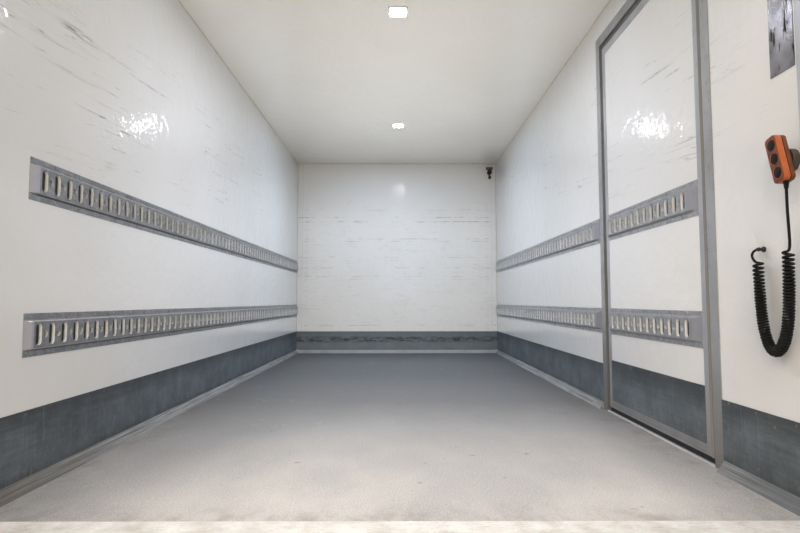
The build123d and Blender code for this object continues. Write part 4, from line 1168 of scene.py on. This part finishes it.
# %% Fastener heads and tree
HEADS = {
    "rivet": ([(4.6, -0.5), (4.6, 0.3), (3.4, 1.5), (1.3, 2.0), (1.1, 1.2)], 8),
    "pan_screw": ([(4.4, -0.5), (4.4, 0.7), (3.4, 1.8), (1.5, 2.1), (1.2, 0.9)], 8),
    "hex_bolt": ([(9.5, -0.5), (9.5, 1.4), (7.5, 1.4), (7.5, 6.2), (6.6, 6.8)], 6),
}


def make_fastener_tree():
    tree, given = new_tree("fasteners", Head="Object", Seed="Int", Finish="Material")
    head = add(tree, "GeometryNodeObjectInfo", {"Object": given["Head"]}).outputs["Geometry"]
    facing = out(tree, "GeometryNodeInputNamedAttribute", {"Name": "facing"}, data_type="FLOAT_VECTOR")
    aimed = out(tree, "FunctionNodeAlignRotationToVector", {"Vector": facing}, axis="Z")
    whole_turn = {2: 0.0, 3: math.tau, "Seed": given["Seed"]}
    angle = add(tree, "FunctionNodeRandomValue", whole_turn, data_type="FLOAT").outputs[1]
    spin = out(tree, "FunctionNodeAxisAngleToRotation", {"Axis": [0, 0, 1], "Angle": angle})
    both = {"Rotation": aimed, "Rotate By": spin}
    rotation = out(tree, "FunctionNodeRotateRotation", both, rotation_space="LOCAL")
    copied = {"Points": given["Geometry"], "Instance": head, "Rotation": rotation}
    end_tree(tree, out(tree, "GeometryNodeInstanceOnPoints", copied), given["Finish"])
    return tree


fastener_tree = make_fastener_tree()
print("fastener tree nodes", len(fastener_tree.nodes))

# %% Fastener scatter
def scatter(name, kind, spots, finish, body):
    """Copies one kind of head to (place, facing) spots and hangs them on a body."""
    profile, sides = HEADS[kind]
    drawn = bmesh.new()
    turned(drawn, Vector((0, 0, 0)), UP, profile, sides)
    head = put(f"{name}_head", skin(name, drawn))
    seed_mesh = bpy.data.meshes.new(name)
    seed_mesh.from_pydata([spot for spot, _ in spots], [], [])
    facing = seed_mesh.attributes.new("facing", "FLOAT_VECTOR", "POINT")
    facing.data.foreach_set("vector", [c for _, way in spots for c in way])
    baked = grow(fastener_tree, seed_mesh, Head=head, Seed=len(spots), Finish=finish)
    bpy.data.objects.remove(head)
    smooth_over(baked, 35)
    hang(name, baked, (finish,), body)
    return len(spots)


def evenly(first, last, pitch):
    """Places from the first to the last, as near to the pitch as fits."""
    count = max(1, round(abs(last - first) / pitch))
    return [first + i * (last - first) / count for i in range(count + 1)]


def wall_spots(side, proud, depths, heights, wall=INNER):
    """Spots on an inner wall, facing the middle of the box."""
    facing = Vector((-side, 0, 0))
    return [(place(side * (wall - proud), d, h), facing) for d in depths for h in heights]


def rail_heights():
    half = RAIL_FLANGE / 2
    return [h for low in RAIL_LEVELS for h in (low + half, low + RAIL_HEIGHT - half)]


print("fastener helpers ready")

# %% [markdown]
# Rivets run along both flanges of the rails, two rows of screws hold the kick sheets, and small
# rivets hold the door frame's trim. Where the photograph shows a screw, its row starts from there.

# %% Fasteners inside
KICK_PROUD = 3.0
KICK_ROWS = (55.0, 223.0)
KICK_PITCH = 215.5
END_RIVET_UP = 12.0
_, DOORWAY, DOORWAY_HEIGHT = span("side_door_frame")
LEAF_FACE = span("side_door_kick_plate")[0][0]
DOOR_TRIM = 24.0
DOOR_TRIM_PROUD = 3.0
TRIM_POSTS = (DOORWAY[0] + DOOR_TRIM, DOORWAY[1] - DOOR_TRIM)
END_RIVETS = [low + END_RIVET_UP for low in RAIL_LEVELS]

rail_rivets, kick_screws, trim_rivets = [], [], []
for side, run, end in ((-1, (70, 4190), 4296), (1, (70, 2940), 3040)):
    rail_rivets += wall_spots(side, RAIL_SHEET, evenly(*run, 2 * SLOT_PITCH), rail_heights())
    rail_rivets += wall_spots(side, RAIL_SHEET, [end], END_RIVETS)
for side, depths, heights in (
    (-1, evenly(194, 4288.5, KICK_PITCH), KICK_ROWS),
    (1, evenly(194, 3000, KICK_PITCH), KICK_ROWS),
    (1, [4150], [60, 145, 227]),
    (1, [4285, 4450], [60, 223]),
    (1, [4365], [200]),
):
    kick_screws += wall_spots(side, KICK_PROUD, depths, heights)
for x in evenly(-1010, 1010, KICK_PITCH):
    kick_screws += [(place(x, KICK_PROUD, h), REARWARD) for h in KICK_ROWS]
for depths, heights in (
    (TRIM_POSTS, evenly(140, DOORWAY_HEIGHT[1] - 60, 300)),
    (evenly(*TRIM_POSTS, 300), [DOORWAY_HEIGHT[1] - DOOR_TRIM]),
):
    trim_rivets += wall_spots(1, DOOR_TRIM_PROUD, depths, heights)
leaf_kick = wall_spots(1, 0, evenly(3402, 3984, 194), [82, 249], LEAF_FACE)
leaf_rivets = wall_spots(1, RAIL_SHEET, evenly(3300, 3890, 2 * SLOT_PITCH), rail_heights(), LEAF_FACE + 3)

total = 0
for name, kind, spots, finish, body, slot in (
    ("rail_rivets", "rivet", rail_rivets, galvanised, "box_body", "galvanised_steel"),
    ("kick_sheet_screws", "pan_screw", kick_screws, shaded_web_zinc, "box_body", "kick_sheet"),
    ("door_frame_rivets", "rivet", trim_rivets, frame_aluminium, "box_body", "aluminium_profile"),
    ("leaf_kick_screws", "pan_screw", leaf_kick, shaded_web_zinc, "side_door", "kick_sheet"),
    ("leaf_rail_rivets", "rivet", leaf_rivets, galvanised, "side_door", "galvanised_steel"),
):
    total += scatter(name, kind, spots, finish, body)
print("fasteners inside", total)

# %% [markdown]
# Outside, the profiles are riveted to the panels at an even pitch, and hexagon bolts hold the hinge
# straps and brackets, the rod guides and the rubber buffers.

# %% Fasteners outside
SKIN_X = span("roof_edge_profiles")[0][1]
FRONT_SKIN = span("roof_edge_profiles")[1][0]
FOOT_SKIN = span("floor_edge_profiles")[2][0]
LEG = 45.0
ROOF_ROW = 22.0
FRONT_ROW = 10.0
PROFILE_PITCH = 210.0
REAR_PIN, SIDE_PIN = (
    next(Vector(joint["pos_m"]) for joint in frame["joints"] if joint["child"] == leaf)
    for leaf in ("right_rear_door", "side_door")
)
REAR_LEAF_TOP = span("right_rear_door_seal")[2][1]
SIDE_LEAF_TOP = span("side_door_seal")[2][1]
HINGE_FROM_ENDS = 190.0
BRACKET_PAIR = (-40, 40)


def three_heights(top):
    return evenly(HINGE_FROM_ENDS, top - HINGE_FROM_ENDS, (top - 2 * HINGE_FROM_ENDS) / 2)


def by_pin(pin, x, y, height, side=1):
    """A point so many millimetres from a hinge pin and above the floor."""
    return Vector((side * (pin.x + x * MM), pin.y + y * MM, FLOOR_Z + height * MM))


outside = []
for side in (-1, 1):
    away = Vector((side, 0, 0))
    for d in evenly(60, LOAD_LENGTH - 60, PROFILE_PITCH):
        outside.append((place(side * SKIN_X, d, LOAD_HEIGHT + ROOF_ROW), away))
        if side < 0 or not DOORWAY[0] - 30 < d < DOORWAY[1] + 30:
            outside.append((place(side * SKIN_X, d, FOOT_SKIN + LEG), away))
    for h in evenly(60, LOAD_HEIGHT - 60, PROFILE_PITCH):
        outside.append((place(side * SKIN_X, -FRONT_ROW, h), away))
        outside.append((place(side * (SKIN_X - LEG), FRONT_SKIN, h), -REARWARD))
for x in evenly(130 - SKIN_X, SKIN_X - 130, PROFILE_PITCH):
    outside.append((place(x, FRONT_SKIN, FOOT_SKIN + LEG), -REARWARD))

bolts = []
for height in three_heights(REAR_LEAF_TOP):
    for off in BRACKET_PAIR:
        for behind in (45, 85):
            for side in (-1, 1):
                point = by_pin(REAR_PIN, -8.5, behind, height + off, side)
                bolts.append((point, Vector((side, 0, 0))))
for height in three_heights(SIDE_LEAF_TOP):
    bolts += [(by_pin(SIDE_PIN, -11, 25, height + off), ACROSS) for off in BRACKET_PAIR]
buffers = span("dock_buffers")
for side in (-1, 1):
    for from_edge in (95, 25):
        x = side * (buffers[0][1] - from_edge)
        bolts.append((place(x, buffers[1][1], sum(buffers[2]) / 2), REARWARD))

total = scatter("profile_rivets", "rivet", outside, aluminium, "box_body")
total += scatter("bracket_bolts", "hex_bolt", bolts, galvanised, "box_body")
print("fasteners outside", total)

# %% Door fasteners
STRAP_BOLTS = (95, 160, 225)
EDGE_ROW = 20.0
EDGE_PITCH = 240.0

for side, body in ((-1, "left_rear_door"), (1, "right_rear_door")):
    spots = []
    for height in three_heights(REAR_LEAF_TOP):
        spots += [(by_pin(REAR_PIN, along, -6, height, side), -REARWARD) for along in STRAP_BOLTS]
    scatter(f"{body}_strap_bolts", "hex_bolt", spots, galvanised, body)
    x, depth, height = span(f"{body}_edge_frame")
    sides, ends = ((low + EDGE_ROW, high - EDGE_ROW) for low, high in (x, height))
    edge = [(a, h) for a in evenly(*sides, EDGE_PITCH) for h in ends]
    edge += [(a, h) for a in sides for h in evenly(*ends, EDGE_PITCH)[1:-1]]
    spots = [(place(a, depth[0], h), -REARWARD) for a, h in edge]
    scatter(f"{body}_frame_rivets", "rivet", spots, aluminium, body)
spots = []
for height in three_heights(SIDE_LEAF_TOP):
    spots += [(by_pin(SIDE_PIN, -9, -along, height), ACROSS) for along in STRAP_BOLTS]
scatter("side_door_strap_bolts", "hex_bolt", spots, galvanised, "side_door")
print("door fasteners made")

# %% [markdown]
# A rubber lip runs round the side door's leaf, broad and domed along the rear stile, and grey-brown,
# lighter towards the rear. Under the leaf hangs a black sweep, and a low pale bar edges the floor in the
# doorway. The bulkhead stands on a plain bright strip.

# %% Side door lips, doorway bar and bulkhead strip
LEAF_X, LEAF_DEPTH, LEAF_HEIGHT = span("side_door_edge_frame")
LIP_DOME = ((0.0, 0.0), (0.1, 2.0), (0.5, 2.8), (0.9, 2.0), (1.0, 0.0))
REAR_LIP = 20.0
HEAD_LIP = 17.0
FRONT_LIP = 14.0
DOOR_POST = 49.0
BAR_SECTION = ((INNER - 5, -1), (INNER - 3, 4), (INNER + 3, 6), (INNER + 5, -1))
FOOT_STRIP = (13, 34)

lips = bmesh.new()
for start, width in ((LEAF_DEPTH[1] + 4 - REAR_LIP, REAR_LIP), (LEAF_DEPTH[0] - 2, FRONT_LIP)):
    loft(lips, [[place(LEAF_X[0] - p, start + a * width, h) for a, p in LIP_DOME] for h in LEAF_HEIGHT])
top = LEAF_HEIGHT[1] + 1 - HEAD_LIP
ends = (LEAF_DEPTH[0] + 12, LEAF_DEPTH[1] - REAR_LIP + 4)
loft(lips, [[place(LEAF_X[0] - p, d, top + a * HEAD_LIP) for a, p in LIP_DOME] for d in ends])
hang("side_door_lips", lips, (door_seal,), "side_door")
sweep = bmesh.new()
box(sweep, (LEAF_X[0] + 7, LEAF_X[0] + 11), (LEAF_DEPTH[0] + 4, LEAF_DEPTH[1] - 4), (6, LEAF_HEIGHT[0] + 2))
hang("side_door_sweep", sweep, (rubber,), "side_door")
bar = bmesh.new()
ends = (DOORWAY[0] + DOOR_POST, DOORWAY[1] - DOOR_POST)
loft(bar, [[place(x, d, h) for x, h in BAR_SECTION] for d in ends])
box(bar, (1 - INNER, INNER - 1), (0, FOOT_STRIP[0]), (0, FOOT_STRIP[1]))
hang("doorway_and_bulkhead_foot", bar, (foot_metal,), "box_body")
print("door lips made")

# %% [markdown]
# The lamps in the ceiling are square plastic cases with round corners and a milky lens set a little
# inside the rim. The lens shines; an area lamp just below it gives the room its light without the
# noise that a small bright surface would bring.

# %% Ceiling lamps
LAMP_X = 17.0
LAMP_DEPTHS = (1326.0, 3173.0)
LAMP_CASE = ((0, 50, 14), (6.5, 50, 14), (8.4, 49, 13), (9.0, 47, 12), (8.8, 43.5, 10), (6.5, 42.5, 10))
LAMP_LENS = ((6.0, 42.4, 10), (7.6, 42.2, 10), (8.3, 40.5, 9), (8.5, 37, 8))


def lamp_shape(steps):
    """Both lamps' case or lens, from (drop below the ceiling, half width, corner radius) steps."""
    shape = bmesh.new()
    for depth in LAMP_DEPTHS:
        middles = [place(LAMP_X, depth, LOAD_HEIGHT - drop) for drop, _, _ in steps]
        sizes = [(half, half, radius) for _, half, radius in steps]
        loft(shape, [rounded(middle, ACROSS, REARWARD, *size) for middle, size in zip(middles, sizes)])
    return shape


case, lens = lamp_shape(LAMP_CASE), lamp_shape(LAMP_LENS)
hang("ceiling_lamp_cases", case, (lamp_case,), "box_body", ("ceiling_lamps",), smooth=30)
hang("ceiling_lamp_lenses", lens, (lamp_lens,), "box_body", smooth=30)
print("ceiling lamps", len(LAMP_DEPTHS))

# %% [markdown]
# The hand control is a moulded case in two halves with a dark parting line between them. Three
# rubber buttons sit in round recesses that a boolean cut makes, and a ribbed boot carries the cord
# out of its lower end. It leans, so all of it is drawn on its own three directions.

# %% Handset
HANDSET_CENTRE = beside_frame(43.5, 17, 937)
LEAN = math.radians(-15)
HAND_UP = Vector((0, -math.sin(LEAN), math.cos(LEAN)))
HAND_OUT = Vector((-1, 0, 0))
HAND_WIDE = HAND_UP.cross(HAND_OUT)
BUTTON_STEPS = (41, 0, -40)
CASE_HALF = (21.5, 67.0)
FRONT_SHELL = ((-2.6, 1.6), (-1.6, 0.4), (0, 0), (13.2, 0), (15.4, 0.8), (16.4, 2.6))
BACK_SHELL = ((-16.4, 3.0), (-15.2, 1.0), (-13.4, 0.2), (-5.8, 0), (-4.8, 1.2))
PARTING = ((-6.0, 3.2), (-1.0, 3.2))
RECESS = ((15.2, 13.6), (16.8, 17.5))


def hand_shape(steps, radius=12.0):
    """A part of the case, from (distance in front of its middle plane, inset) steps."""
    shape, rings = bmesh.new(), []
    for forward, inset in steps:
        sizes = (CASE_HALF[0] - inset, CASE_HALF[1] - inset, radius - inset)
        rings.append(rounded(HANDSET_CENTRE + HAND_OUT * forward * MM, HAND_WIDE, HAND_UP, *sizes, 5))
    loft(shape, rings)
    return shape


def cut_front():
    """The front half with its three button recesses, its flat face marked for the darker orange of painted
    shade.
    """
    cutter = bmesh.new()
    for step in BUTTON_STEPS:
        turned(cutter, HANDSET_CENTRE + HAND_UP * step * MM, HAND_OUT, RECESS, 20)
    recesses = put("button_recesses", skin("button_recesses", cutter))
    whole = put("handset_front", skin("handset_front", hand_shape(FRONT_SHELL), 30))
    cut = whole.modifiers.new("recesses", "BOOLEAN")
    cut.operation = "DIFFERENCE"
    cut.object = recesses
    mesh = bake(whole)
    bpy.data.objects.remove(recesses)
    for polygon in mesh.polygons:
        polygon.material_index = 1 if polygon.normal.dot(HAND_OUT) > 0.75 else 0
    smooth_over(mesh, 30)
    return mesh


front, back = cut_front(), hand_shape(BACK_SHELL)
hang("handset_front", front, (orange_shell, shaded_orange_face), "box_body", ("handset",))
hang("handset_back", back, (orange_back,), "box_body", smooth=30)
print("handset faces", len(front.polygons))

# %% Buttons and boot
BUTTON = (
    (14.4, 13.0),
    (14.4, 15.0),
    (13.4, 15.9),
    (11.8, 16.0),
    (11.0, 15.4),
    (9.6, 16.0),
    (4.5, 16.7),
    (1.5, 16.8),
)
BOOT_RIBS = 5
GLAND = ((3.8, -1), (5.2, 0), (6.0, 3), (6.0, 9), (4.0, 12))

buttons = hand_shape(PARTING)
for step in BUTTON_STEPS:
    turned(buttons, HANDSET_CENTRE + HAND_UP * step * MM, HAND_OUT, BUTTON, 24)
boot = [(5.2, 0), (5.6, 0.6), (5.4, 3.2)]
for i in range(BOOT_RIBS):
    low, radius = 4 + 4.2 * i, 5.8 + 0.62 * i
    boot += [(radius - 0.9, low), (radius, low + 0.7), (radius, low + 2.6), (radius - 0.9, low + 3.4)]
boot += [(9.0, 25.5), (9.0, 29.5)]
turned(buttons, beside_frame(*STRAIGHT_POINTS[0]), UP, boot, 20)
hang("handset_buttons", buttons, (button_rubber,), "box_body", smooth=35)
gland = bmesh.new()
tail_end = beside_frame(*TAIL_POINTS[-1])
to_wall = ((4.5, 0), (4.5, 8), (8.0, 12), (8.0, INNER - tail_end.x / MM))
turned(gland, tail_end, REARWARD, GLAND, 16)
turned(gland, tail_end + REARWARD * 6 * MM, ACROSS, to_wall, 16)
hang("cord_gland_boot", gland, (black_plastic,), "box_body", ("cord_gland",), smooth=35)
print("buttons", len(BUTTON_STEPS))

# %% [markdown]
# The temperature sensor hangs from a short bracket bar in the corner under the roof: a round dark
# body with a raised rim and a dished face, and a smaller knob below it.

# %% Temperature sensor
SENSOR_X = INNER - 71.5
SENSOR_TOP = LOAD_HEIGHT - 45.0
BIG_DIAL = (
    (25, 0),
    (25, 36),
    (24, 39.2),
    (21.5, 40),
    (20.5, 38.4),
    (17, 37.6),
    (6, 37.2),
    (5.2, 38.6),
    (2, 39),
)
SMALL_DIAL = ((15, 0), (15, 24), (14, 27), (12, 28), (10.5, 26.6), (4, 26.2))

bracket = bmesh.new()
box(bracket, (SENSOR_X - 37, SENSOR_X + 35), (0, 34), (SENSOR_TOP - 25, SENSOR_TOP))
box(bracket, (SENSOR_X - 9, SENSOR_X + 9), (0, 8), (SENSOR_TOP - 120, SENSOR_TOP - 24))
bmesh.ops.bevel(bracket, geom=bracket.edges, offset=0.0012, segments=2, affect="EDGES", profile=0.5)
dials = bmesh.new()
turned(dials, place(SENSOR_X, 0, SENSOR_TOP - 56), REARWARD, BIG_DIAL, 28)
turned(dials, place(SENSOR_X + 3, 0, SENSOR_TOP - 111), REARWARD, SMALL_DIAL, 22)
hang("sensor_bracket", bracket, (sensor_plastic,), "box_body", ("temperature_sensor",))
hang("sensor_dials", dials, (black_plastic,), "box_body", smooth=35)
print("sensor made")

# %% [markdown]
# Marker lamps have ribbed lenses that spread their light. The ribs are a row of thin bars, sunk by
# half into the lens. A relief in the material would vanish at the lens's edge, so they are real bars
# and Geometry Nodes copies them.

# %% Rib tree
RIB = 1.3
RIB_PITCH = 6.0


def make_rib_tree():
    inputs = {"Count": "Int", "Pitch": "Float", "Length": "Float", "Radius": "Float", "Finish": "Material"}
    tree, given = new_tree("lens_ribs", **inputs)
    half = product(tree, maths(tree, "SUBTRACT", given["Count"], 1.0), given["Pitch"], -0.5)
    start, step = vector(tree, half), vector(tree, given["Pitch"])
    places = {"Count": given["Count"], "Start Location": start, "Offset": step}
    line = out(tree, "GeometryNodeMeshLine", places)
    round_bar = {"Vertices": 8, "Radius": given["Radius"], "Depth": given["Length"]}
    bar = add(tree, "GeometryNodeMeshCylinder", round_bar).outputs["Mesh"]
    laid = out(tree, "GeometryNodeTransform", {"Geometry": bar, "Rotation": [math.radians(90), 0, 0]})
    bars = out(tree, "GeometryNodeInstanceOnPoints", {"Points": line, "Instance": laid})
    end_tree(tree, bars, given["Finish"])
    return tree


rib_tree = make_rib_tree()
print("rib tree nodes", len(rib_tree.nodes))

# %% [markdown]
# Side and rear lamps keep the model's lens and gain ribs. The front lamps are the foremost pieces of
# the box, so their lenses are drawn anew, shallower by as much as the ribs stand out.

# %% Marker lamp ribs
def add_ribs(shape, centre, along, upright, count, length):
    """Adds a row of ribs, spaced along one direction and lying in the other."""
    sizes = {"Count": count, "Pitch": RIB_PITCH * MM, "Length": length * MM, "Radius": RIB * MM}
    bars = grow(rib_tree, bpy.data.meshes.new("rib_seed"), **sizes)
    outward = along.cross(upright)
    place_there = Matrix((along, upright, outward)).transposed().to_4x4()
    place_there.translation = centre
    bars.transform(place_there)
    shape.from_mesh(bars)
    bpy.data.meshes.remove(bars)


for node, finish, slot in (
    ("side_marker_lamps", amber_lens, "lamp_amber"),
    ("front_marker_lamps", clear_lens, "lamp_clear"),
    ("rear_marker_lamps", red_lens, "lamp_red"),
):
    ribs = bmesh.new()
    x, depth, height = span(node)
    middle = sum(height) / 2
    if node == "side_marker_lamps":
        for d in evenly(depth[0] + 50, depth[1] - 50, (depth[1] - depth[0] - 100) / 2):
            for side in (-1, 1):
                add_ribs(ribs, place(side * x[1], d, middle), REARWARD, UP * side, 14, 24)
    elif node == "front_marker_lamps":
        for middle_x in (50 - x[1], x[1] - 50):
            rings = []
            for d, inset in ((depth[1], 0), (depth[0] + RIB + 5, 0), (depth[0] + RIB, 5)):
                rings.append(rounded(place(middle_x, d, middle), ACROSS, UP, 50 - inset, 16 - inset, 1))
            loft(ribs, rings)
            add_ribs(ribs, place(middle_x, depth[0] + RIB, middle), ACROSS, UP, 14, 20)
    else:
        for side in (-1, 1):
            add_ribs(ribs, place(side * (x[1] - 16.5), depth[1], middle), UP, ACROSS, 13, 21)
    drawn_anew = (node,) if node == "front_marker_lamps" else ()
    hang(f"{node[:-1]}_ribs", ribs, (finish,), "box_body", drawn_anew, smooth=50)
print("marker lamps ribbed")

# %% [markdown]
# A bead of silicone closes each inside corner. It has yellowed a little, and reads as the thin line
# between ceiling, walls and bulkhead.

# %% Sealant beads
BEAD = 5.0
KICK_TOP = 235.0


def corner_bead(a, b, way_a, way_b):
    """Section of a bead in a corner: along the one side, out to its rounded face and along the other."""
    full, face = BEAD, 0.6 * BEAD
    return ((a, b), (a, b + way_b * full), (a + way_a * face, b + way_b * face), (a + way_a * full, b))


beads = bmesh.new()
for side in (-1, 1):
    along = corner_bead(INNER, LOAD_HEIGHT, -1, -1)
    loft(beads, [[place(side * x, d, h) for x, h in along] for d in (0, LOAD_LENGTH)])
    upright = corner_bead(INNER, 0, -1, 1)
    loft(beads, [[place(side * x, d, h) for x, d in upright] for h in (KICK_TOP, LOAD_HEIGHT)])
across = corner_bead(0, LOAD_HEIGHT, 1, -1)
loft(beads, [[place(x, d, h) for d, h in across] for x in (-INNER, INNER)])
hang("sealant_beads", beads, (sealant,), "box_body")
print("beads made")

# %% [markdown]
# The stage is a pale studio floor under the box. It looks white to the camera and in reflections,
# and takes the box's shadow. A soft white world lights everything from all round. A sky picture could
# do the same, but its sun and colours would show in the glossy walls.

# %% Stage and world
STAGE_HALF = 40.0
WORLD_STRENGTH = 0.25


def make_stage():
    mesh = bpy.data.meshes.new("stage_floor")
    half = STAGE_HALF
    corners = [(-half, -half, 0), (half, -half, 0), (half, half, 0), (-half, half, 0)]
    mesh.from_pydata(corners, [], [(0, 1, 2, 3)])
    stage = put("stage_floor", mesh)
    made, tree, shader, _ = new_material("studio_floor", "B4B4B2", 0.9)
    path = add(tree, "ShaderNodeLightPath").outputs
    seen = greatest(tree, path["Is Camera Ray"], path["Is Glossy Ray"], path["Is Transmission Ray"])
    shader.inputs["Emission Color"].default_value = colour("FFFFFF")
    tree.links.new(product(tree, seen, 0.4), shader.inputs["Emission Strength"])
    stage.data.materials.append(made)


def make_world():
    """Soft studio light; the camera sees it as plain white."""
    world = bpy.data.worlds.new("studio")
    scene.world = world
    world.use_nodes = True
    tree = world.node_tree
    background = tree.nodes["Background"]
    background.inputs["Color"].default_value = colour("FFFFFF")
    path = add(tree, "ShaderNodeLightPath").outputs
    seen = greatest(tree, path["Is Camera Ray"], path["Is Transmission Ray"])
    strength = scaled(tree, seen, 1 - WORLD_STRENGTH, WORLD_STRENGTH)
    tree.links.new(strength, background.inputs["Strength"])


make_stage()
make_world()
print("stage and world ready")

# %% [markdown]
# Inside, warm lamps stand for the daylight at the open rear, a wide weak one for what the floor
# throws up, and a cool one sits under each ceiling lens. The lamps at the rear are strong, so all the
# warm ones pass over the rear doors and the studio floor, which would turn white near them. Outside,
# a key and four wide fills bring every wall and the roof up to about its own colour.

# %% Lamps
def make_area_lamp(name, centre, aim, size, power, tint, glossy=True, spread=180):
    data = bpy.data.lights.new(name, "AREA")
    data.shape = "RECTANGLE"
    data.size, data.size_y = size
    data.energy = power
    data.color = colour(tint)[:3]
    data.spread = math.radians(spread)
    lamp = put(name, data)
    lamp.location = centre
    lamp.rotation_euler = (Vector(aim) - Vector(centre)).to_track_quat("-Z", "Y").to_euler()
    lamp.visible_camera = False
    lamp.visible_glossy = glossy
    return lamp


def spare(pieces, lamps):
    """These lamps pass over these pieces, which still cast a shadow in their light."""
    spared = bpy.data.collections.new("spared_by_the_room_lamps")
    for piece in pieces:
        spared.objects.link(piece)
    for member in spared.collection_objects:
        member.light_linking.link_state = "EXCLUDE"
    for lamp in lamps:
        lamp.light_linking.receiver_collection = spared


ROOM_LAMPS = {
    "daylight": ((0, 8600, 350), (0, 2600, 0), (0.7, 0.6), 14.0, "FFE8C4", 70),
    "sky_from_right": ((1100, 8400, 2500), (-300, 3000, 500), (0.4, 0.4), 8.0, "FFF4E0", 80),
    "sky_from_left": ((-1100, 8400, 2500), (300, 3000, 500), (0.4, 0.4), 12.5, "FFF4E0", 80),
    "sky_on_sill": ((0, 6200, 2600), (0, 4300, 0), (1.4, 0.5), 6.8, "FFF4ED", 50),
    "floor_glow": ((0, 2500, 40), (0, 2500, LOAD_HEIGHT), (1.7, 3.6), 11.4, "FFF7E6", 90),
}
STUDIO_LAMPS = {
    "key_behind": ((-5.0, -6.0, 7.0), (0, 0, 1.0), (4, 4), 260, "FFF2E4", 180),
    "fill_above": ((0, 1.0, 9.0), (0, 1.0, 0), (5, 5), 280, "FFFFFF", 180),
    "fill_right": ((8.5, 1.5, 3.5), (0, 1.0, 1.2), (4, 3), 125, "FFFFFF", 120),
    "fill_left": ((-8.5, 1.5, 3.5), (0, 1.0, 1.2), (4, 3), 125, "FFFFFF", 120),
    "fill_front": ((0, 10.0, 3.5), (0, 0, 1.2), (4, 3), 125, "FFFFFF", 120),
}
CEILING_LIGHTS = ((20.5, "C4DFFF"), (15.5, "E2EAFF"))
CEILING_LIGHT_DROP = 14.0
CEILING_LIGHT_SIZE = (0.09, 0.09)

room_lamps = []
for name, (centre, aim, size, power, tint, spread) in ROOM_LAMPS.items():
    lamp = make_area_lamp(name, place(*centre), place(*aim), size, power, tint, False, spread)
    room_lamps.append(lamp)
outside = [piece for piece in scene.objects if "rear_door" in piece.name or piece.name == "stage_floor"]
spare(outside, room_lamps)
print("spared", len(outside))
for name, (centre, aim, size, power, tint, spread) in STUDIO_LAMPS.items():
    make_area_lamp(name, centre, aim, size, power, tint, name == "key_behind", spread)
for depth, (power, tint) in zip(LAMP_DEPTHS, CEILING_LIGHTS):
    under = (place(LAMP_X, depth, h) for h in (LOAD_HEIGHT - CEILING_LIGHT_DROP, 0))
    make_area_lamp(f"ceiling_light_{depth:.0f}", *under, CEILING_LIGHT_SIZE, power, tint, False)
print("lit")
